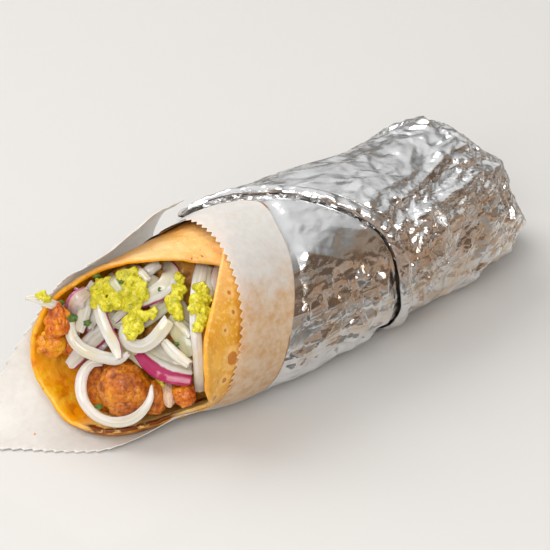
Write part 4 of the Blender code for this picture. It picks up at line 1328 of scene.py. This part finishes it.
def chutney_blobs(name, lobes, draw):
    """Middle, radius, flatness and fineness of each ball in a dollop: its lobes, and crumbs on them."""
    blobs = []
    for right, up, out, radius in lobes:
        keep = None if name == "chutney_tip" else BREAD_INSIDE - 0.8 - 0.9 * radius
        centre = mouth_point(right, up, out, keep=keep)
        blobs.append((centre, radius * 0.9, 0.8, 3))
        for _ in range(int(4 + 3 * radius)):
            way = draw.normal(size=3)
            way /= np.linalg.norm(way)
            way = way if way @ OUT > -0.2 else -way
            spot = centre + way * radius * draw.uniform(0.70, 0.94)
            blobs.append((spot, draw.uniform(0.35, 0.95), 1.0, 2))
    return blobs


def join(parts, name):
    """Makes one mesh of several."""
    deselect()
    for part in parts:
        part.select_set(True)
    bpy.context.view_layer.objects.active = parts[0]
    bpy.ops.object.join()
    parts[0].name = name
    return parts[0]


def chutney_dollop(name, lobes, finish):
    """A dollop of coarse chutney: lobes and crumbs run together by a voxel remesh."""
    seed = seed_of(name)
    blobs = chutney_blobs(name, lobes, np.random.default_rng(seed))
    made = []
    for n, (centre, radius, flat, fineness) in enumerate(blobs):
        def place(direction, centre=centre, radius=radius, flat=flat):
            reach = radius * (1 + 0.2 * lumps(direction * 5 + centre, 3.0, seed))
            return centre + (direction * reach[:, None] * (1, 1, flat)) @ MOUTH_AXES
        made.append(ball(f"{name}_{n}", fineness, place))
    piece = join(made, name + "_dollop")
    remesh = piece.modifiers.new("run_together", "REMESH")
    remesh.mode = "VOXEL"
    remesh.voxel_size = CHUTNEY_GRAIN * MM
    soften = piece.modifiers.new("soften", "SMOOTH")
    soften.iterations = 5
    soften.factor = 0.5
    apply_modifiers(piece)
    points = read_points(piece) / MM
    way = np.empty(len(points) * 3)
    piece.data.vertices.foreach_get("normal", way)
    relief = 0.20 * layered_lumps(points, 1.3, 2, seed) + 0.16 * np.abs(lumps(points, 0.8, seed + 3))
    write_points(piece, (points + way.reshape(-1, 3) * relief[:, None]) * MM)
    return finish_piece(piece, [finish], "chutney", name)


# Torn coriander leaves: right, up, out, size and turn
LEAVES = (
    (-22.4, 19.6, 3.4, 1.5, 20), (-9.0, 29.6, 1.2, 1.8, 75), (-17.9, 13.8, 3.2, 2.1, 150),
    (-12.3, 12.0, 3.6, 1.7, 240), (-8.2, -19.4, 0.2, 1.7, 60), (15.0, 24.6, -3.0, 1.2, 10),
    (0.6, 27.4, 3.4, 1.1, 120), (21.2, 4.2, -4.2, 1.2, 200),
)
LEAF_THICKNESS = 0.12


def herb_leaf(number, right, up, out, size, turn, finish):
    """A torn piece of leaf with a lobed, curled edge."""
    centre = mouth_point(right, up, out, keep=BREAD_INSIDE - 1.2)

    def place(along, across):
        swing = 2 * math.pi * along + math.radians(turn)
        reach = size * across * (0.72 + 0.28 * np.abs(np.cos(2.5 * swing + number)))
        curl = 0.35 * size * across**2 * np.sin(2 * swing + number)
        flat = np.stack((reach * np.cos(swing), 0.75 * reach * np.sin(swing), curl), 1)
        return centre + flat @ MOUTH_AXES

    leaf = sheet(f"coriander_leaf_{number}", 48, 8, place)
    close_seams(leaf, outward=False)
    wall = leaf.modifiers.new("wall", "SOLIDIFY")
    wall.thickness = LEAF_THICKNESS * MM
    apply_modifiers(leaf)
    close_seams(leaf, gap=0.0005)
    return finish_piece(leaf, [finish], "chutney")


CRUMB_PLACE = (-101.0, 20.0, 1.2)


def make_crumb(finish):
    """A crumb of crust dropped on the paper."""
    def place(direction):
        reach = 0.85 * (1 + 0.4 * lumps(direction * 3, 1.6, 9))
        return np.array(CRUMB_PLACE) + direction * reach[:, None] * (1.3, 0.9, 0.7)

    return finish_piece(ball("fried_crumb", 3, place), [finish], "bread")


# The core: how far behind the rim its front starts, where its middle stands, and the shares of its
# rows at which the front turns into the body and the body into the rear
CORE_BEHIND_RIM = 17
CORE_MIDDLE = -60
CORE_FRONT_ROWS = 0.6
CORE_BODY_ROWS = 0.9


def make_core(finish):
    """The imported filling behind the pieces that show, with a lumpy front."""

    def place(along, across):
        angle = 360 * across
        unrolled = (BREAD_START_ANGLE - angle) % 360
        front = follow(BREAD_RIM, BREAD_START_ANGLE - unrolled) + CORE_BEHIND_RIM
        share = np.clip(along / CORE_FRONT_ROWS, 0, 1)
        body = np.clip((along - CORE_FRONT_ROWS) / 0.3, 0, 1)
        tail = np.clip((along - CORE_BODY_ROWS) / 0.1, 0, 1)
        dome = CORE_MIDDLE + (front - CORE_MIDDLE) * share**1.4
        x = dome * (1 - body) + (BREAD_REAR - 2) * body
        radius = CORE_RADIUS * share * (1 - tail) * thinning(x)
        turn = np.radians(angle)
        across_y, above = radius * np.cos(turn), radius * np.sin(turn)
        spot = np.stack((across_y, above, x * 0), 1)
        bump = (2.0 * layered_lumps(spot, 7, 3, 77) + 0.5 * np.abs(lumps(spot, 1.6, 78))) * (1 - body)
        height = rest_on(axis_height(x) + above, BREAD_FLOOR + BREAD_WALL + 1.6, BREAD_BEND)
        return np.stack((x + bump, across_y, height), 1)

    core = sheet("filling_packed", 110, 220, place)
    close_seams(core)
    return finish_piece(core, [finish], "filling", "filling_core")


def make_filling():
    finishes = {
        "white": onion_finish("onion_white", (0.88, 0.87, 0.82), 0.0),
        "rim": onion_finish("onion_purple_rim", (0.44, 0.05, 0.20), 0.20),
        "pink": onion_finish("onion_pink", (0.50, 0.12, 0.28), 0.24, (0.82, 0.66, 0.68)),
        "green": onion_finish("onion_greenish", (0.80, 0.80, 0.62), 0.0, (0.78, 0.79, 0.60)),
        "purple": onion_finish("onion_magenta", (0.46, 0.018, 0.12), 0.56),
    }
    for name, (route, widths, lean, finish) in (ONIONS | DEEP_ONIONS).items():
        onion_slice(name, route, widths, lean, finish, finishes)
    meats = {name: meat_finish(*row) for name, row in MEAT_FINISHES.items()}
    for name, (middle, half_sizes, fineness, rough, finish) in MEATS.items():
        meat_chunk(name, middle, half_sizes, fineness, rough, meats[finish])
    chutney = chutney_finish()
    for name, lobes in CHUTNEYS.items():
        chutney_dollop(name, lobes, chutney)
    leaf = herb_finish()
    for number, row in enumerate(LEAVES):
        herb_leaf(number, *row, leaf)
    make_crumb(meats["yellow"])
    make_core(meats["masala"])


# ---------------------------------------------------------------- floor, lights and camera


def soft_light(name, size, energy, place, colour):
    """A square softbox that faces the roll."""
    lamp = bpy.data.lights.new(name, "AREA")
    lamp.size = size
    lamp.energy = energy
    lamp.color = colour
    holder = bpy.data.objects.new(name, lamp)
    bpy.context.scene.collection.objects.link(holder)
    holder.location = place
    holder.rotation_euler = (-Vector(place)).to_track_quat("-Z", "Y").to_euler()


def make_floor():
    """A wide pale floor, just under the roll."""
    deselect()
    bpy.ops.mesh.primitive_plane_add(size=40, location=(0, 0, -0.0004))
    floor = bpy.context.object
    floor.name = "studio_floor"
    plain = Finish("studio_floor", Roughness=0.7)
    plain.colour((0.64, 0.63, 0.615, 1))
    floor.data.materials.append(plain.material)


def card_finish():
    """Brown wood further out, paper near the roll painted grey as in the roll's shade, and a pale lit
    part behind it.
    """
    f = Finish("studio_table_top", Roughness=0.8)
    grain = f.noise(9, 1)
    wood = f.ramp(
        grain, (0.32, (0.11, 0.075, 0.055)), (0.50, (0.28, 0.20, 0.145)), (0.68, (0.50, 0.37, 0.27)))
    # Painted shade: the paper near the roll is painted dark grey, as paper lying in the roll's shade.
    paper = f.ramp(f.noise(22, 1), (0.36, (0.09, 0.085, 0.08)), (0.62, (0.40, 0.39, 0.38)))
    wood = f.mix(f.kept("lit"), wood, (0.60, 0.595, 0.585))
    f.colour(f.mix(f.kept("away"), paper, wood))
    return f.material


# The card that the foil mirrors: its middle, the half sizes of its opening, and how far out it reaches
CARD_MIDDLE = (15, -8)
CARD_OPENING = (150, 46)
CARD_REACH = 2900


def make_card():
    """A dim brown table top that only the foil's reflections show, left open near the roll."""
    kept = {}

    def place(along, across):
        turn = 2 * math.pi * across
        half_length, half_width = CARD_OPENING
        inner = 1 / np.maximum(np.abs(np.cos(turn)) / half_length, np.abs(np.sin(turn)) / half_width)
        distance = inner + (CARD_REACH - inner) * along**2
        kept["away"] = ease(45, 85, distance - inner)
        x, y = CARD_MIDDLE[0] + distance * np.cos(turn), CARD_MIDDLE[1] + distance * np.sin(turn)
        kept["lit"] = 0.8 * ease(110, 200, 0.7 * (x + y))
        return np.stack((x, y, -0.2 + 0 * turn), 1)

    card = sheet("studio_table_top", 24, 96, place)
    mark(card, kept, "away", "lit")
    card.data.materials.append(card_finish())
    for seen in ("visible_camera", "visible_diffuse", "visible_shadow", "visible_transmission"):
        setattr(card, seen, False)


# Shades of the room from below to above
SKY = (
    (0.0, (0.12, 0.08, 0.055)), (0.16, (0.34, 0.26, 0.19)), (0.30, (0.16, 0.15, 0.14)),
    (0.48, (0.34, 0.34, 0.335)), (0.66, (0.58, 0.58, 0.575)), (0.95, (0.80, 0.80, 0.80)),
)
# How far the shades also rise towards the far side
SKY_LEAN = 0.3


def make_sky():
    """Light from all round, by height and a little by side."""
    world = bpy.data.worlds.new("studio_light")
    bpy.context.scene.world = world
    world.use_nodes = True
    nodes, links = world.node_tree.nodes, world.node_tree.links
    way = nodes.new("ShaderNodeTexCoord")
    split = nodes.new("ShaderNodeSeparateXYZ")
    fade = nodes.new("ShaderNodeValToRGB")
    links.new(way.outputs["Generated"], split.inputs["Vector"])
    sway = nodes.new("ShaderNodeMath")
    sway.operation = "MULTIPLY_ADD"
    sway.inputs[1].default_value = SKY_LEAN
    links.new(split.outputs["Y"], sway.inputs[0])
    links.new(split.outputs["Z"], sway.inputs[2])
    links.new(sway.outputs["Value"], fade.inputs["Fac"])
    links.new(fade.outputs["Color"], nodes["Background"].inputs["Color"])
    set_stops(fade.color_ramp.elements, SKY)


# Lights: name, size, power, place and colour
LIGHTS = (
    ("window", 1.5, 18, (-0.25, 1.05, 1.25), (1.0, 0.98, 0.95)),
    ("front_fill", 0.9, 17, (-1.25, -0.75, 1.0), (1.0, 0.98, 0.95)),
    ("side_fill", 0.7, 5, (-0.2, -1.4, 1.0), (1.0, 0.98, 0.96)),
)


def make_studio():
    """Everything round the roll but the camera."""
    make_floor()
    make_card()
    make_sky()
    for row in LIGHTS:
        soft_light(*row)
    bpy.context.scene.view_settings.view_transform = "Standard"


CAMERA_LENS = 224.1
CAMERA_DISTANCE = 1.3
CAMERA_AIM = (-11.2, -18.1, 49.8)


def make_camera():
    """A long lens, looking down into the mouth."""
    lens = bpy.data.cameras.new("camera")
    lens.sensor_width = 36
    lens.lens = CAMERA_LENS
    lens.clip_start = 0.05
    camera = bpy.data.objects.new("camera", lens)
    bpy.context.scene.collection.objects.link(camera)
    aim = Vector(CAMERA_AIM) * MM
    right, up, out = (Vector(way) for way in (RIGHT, UP, OUT))
    place = Matrix((right, up, out)).transposed().to_4x4()
    place.translation = aim + out * CAMERA_DISTANCE
    camera.matrix_world = place
    bpy.context.scene.camera = camera


# ---------------------------------------------------------------- the whole roll

make_bread()
make_paper()
make_foil_tube(foil_finish("foil_smooth", TUBE_CRINKLE))
make_foil_cap(foil_finish("foil_crumpled", CAP_CRINKLE))
make_filling()
make_studio()
make_camera()
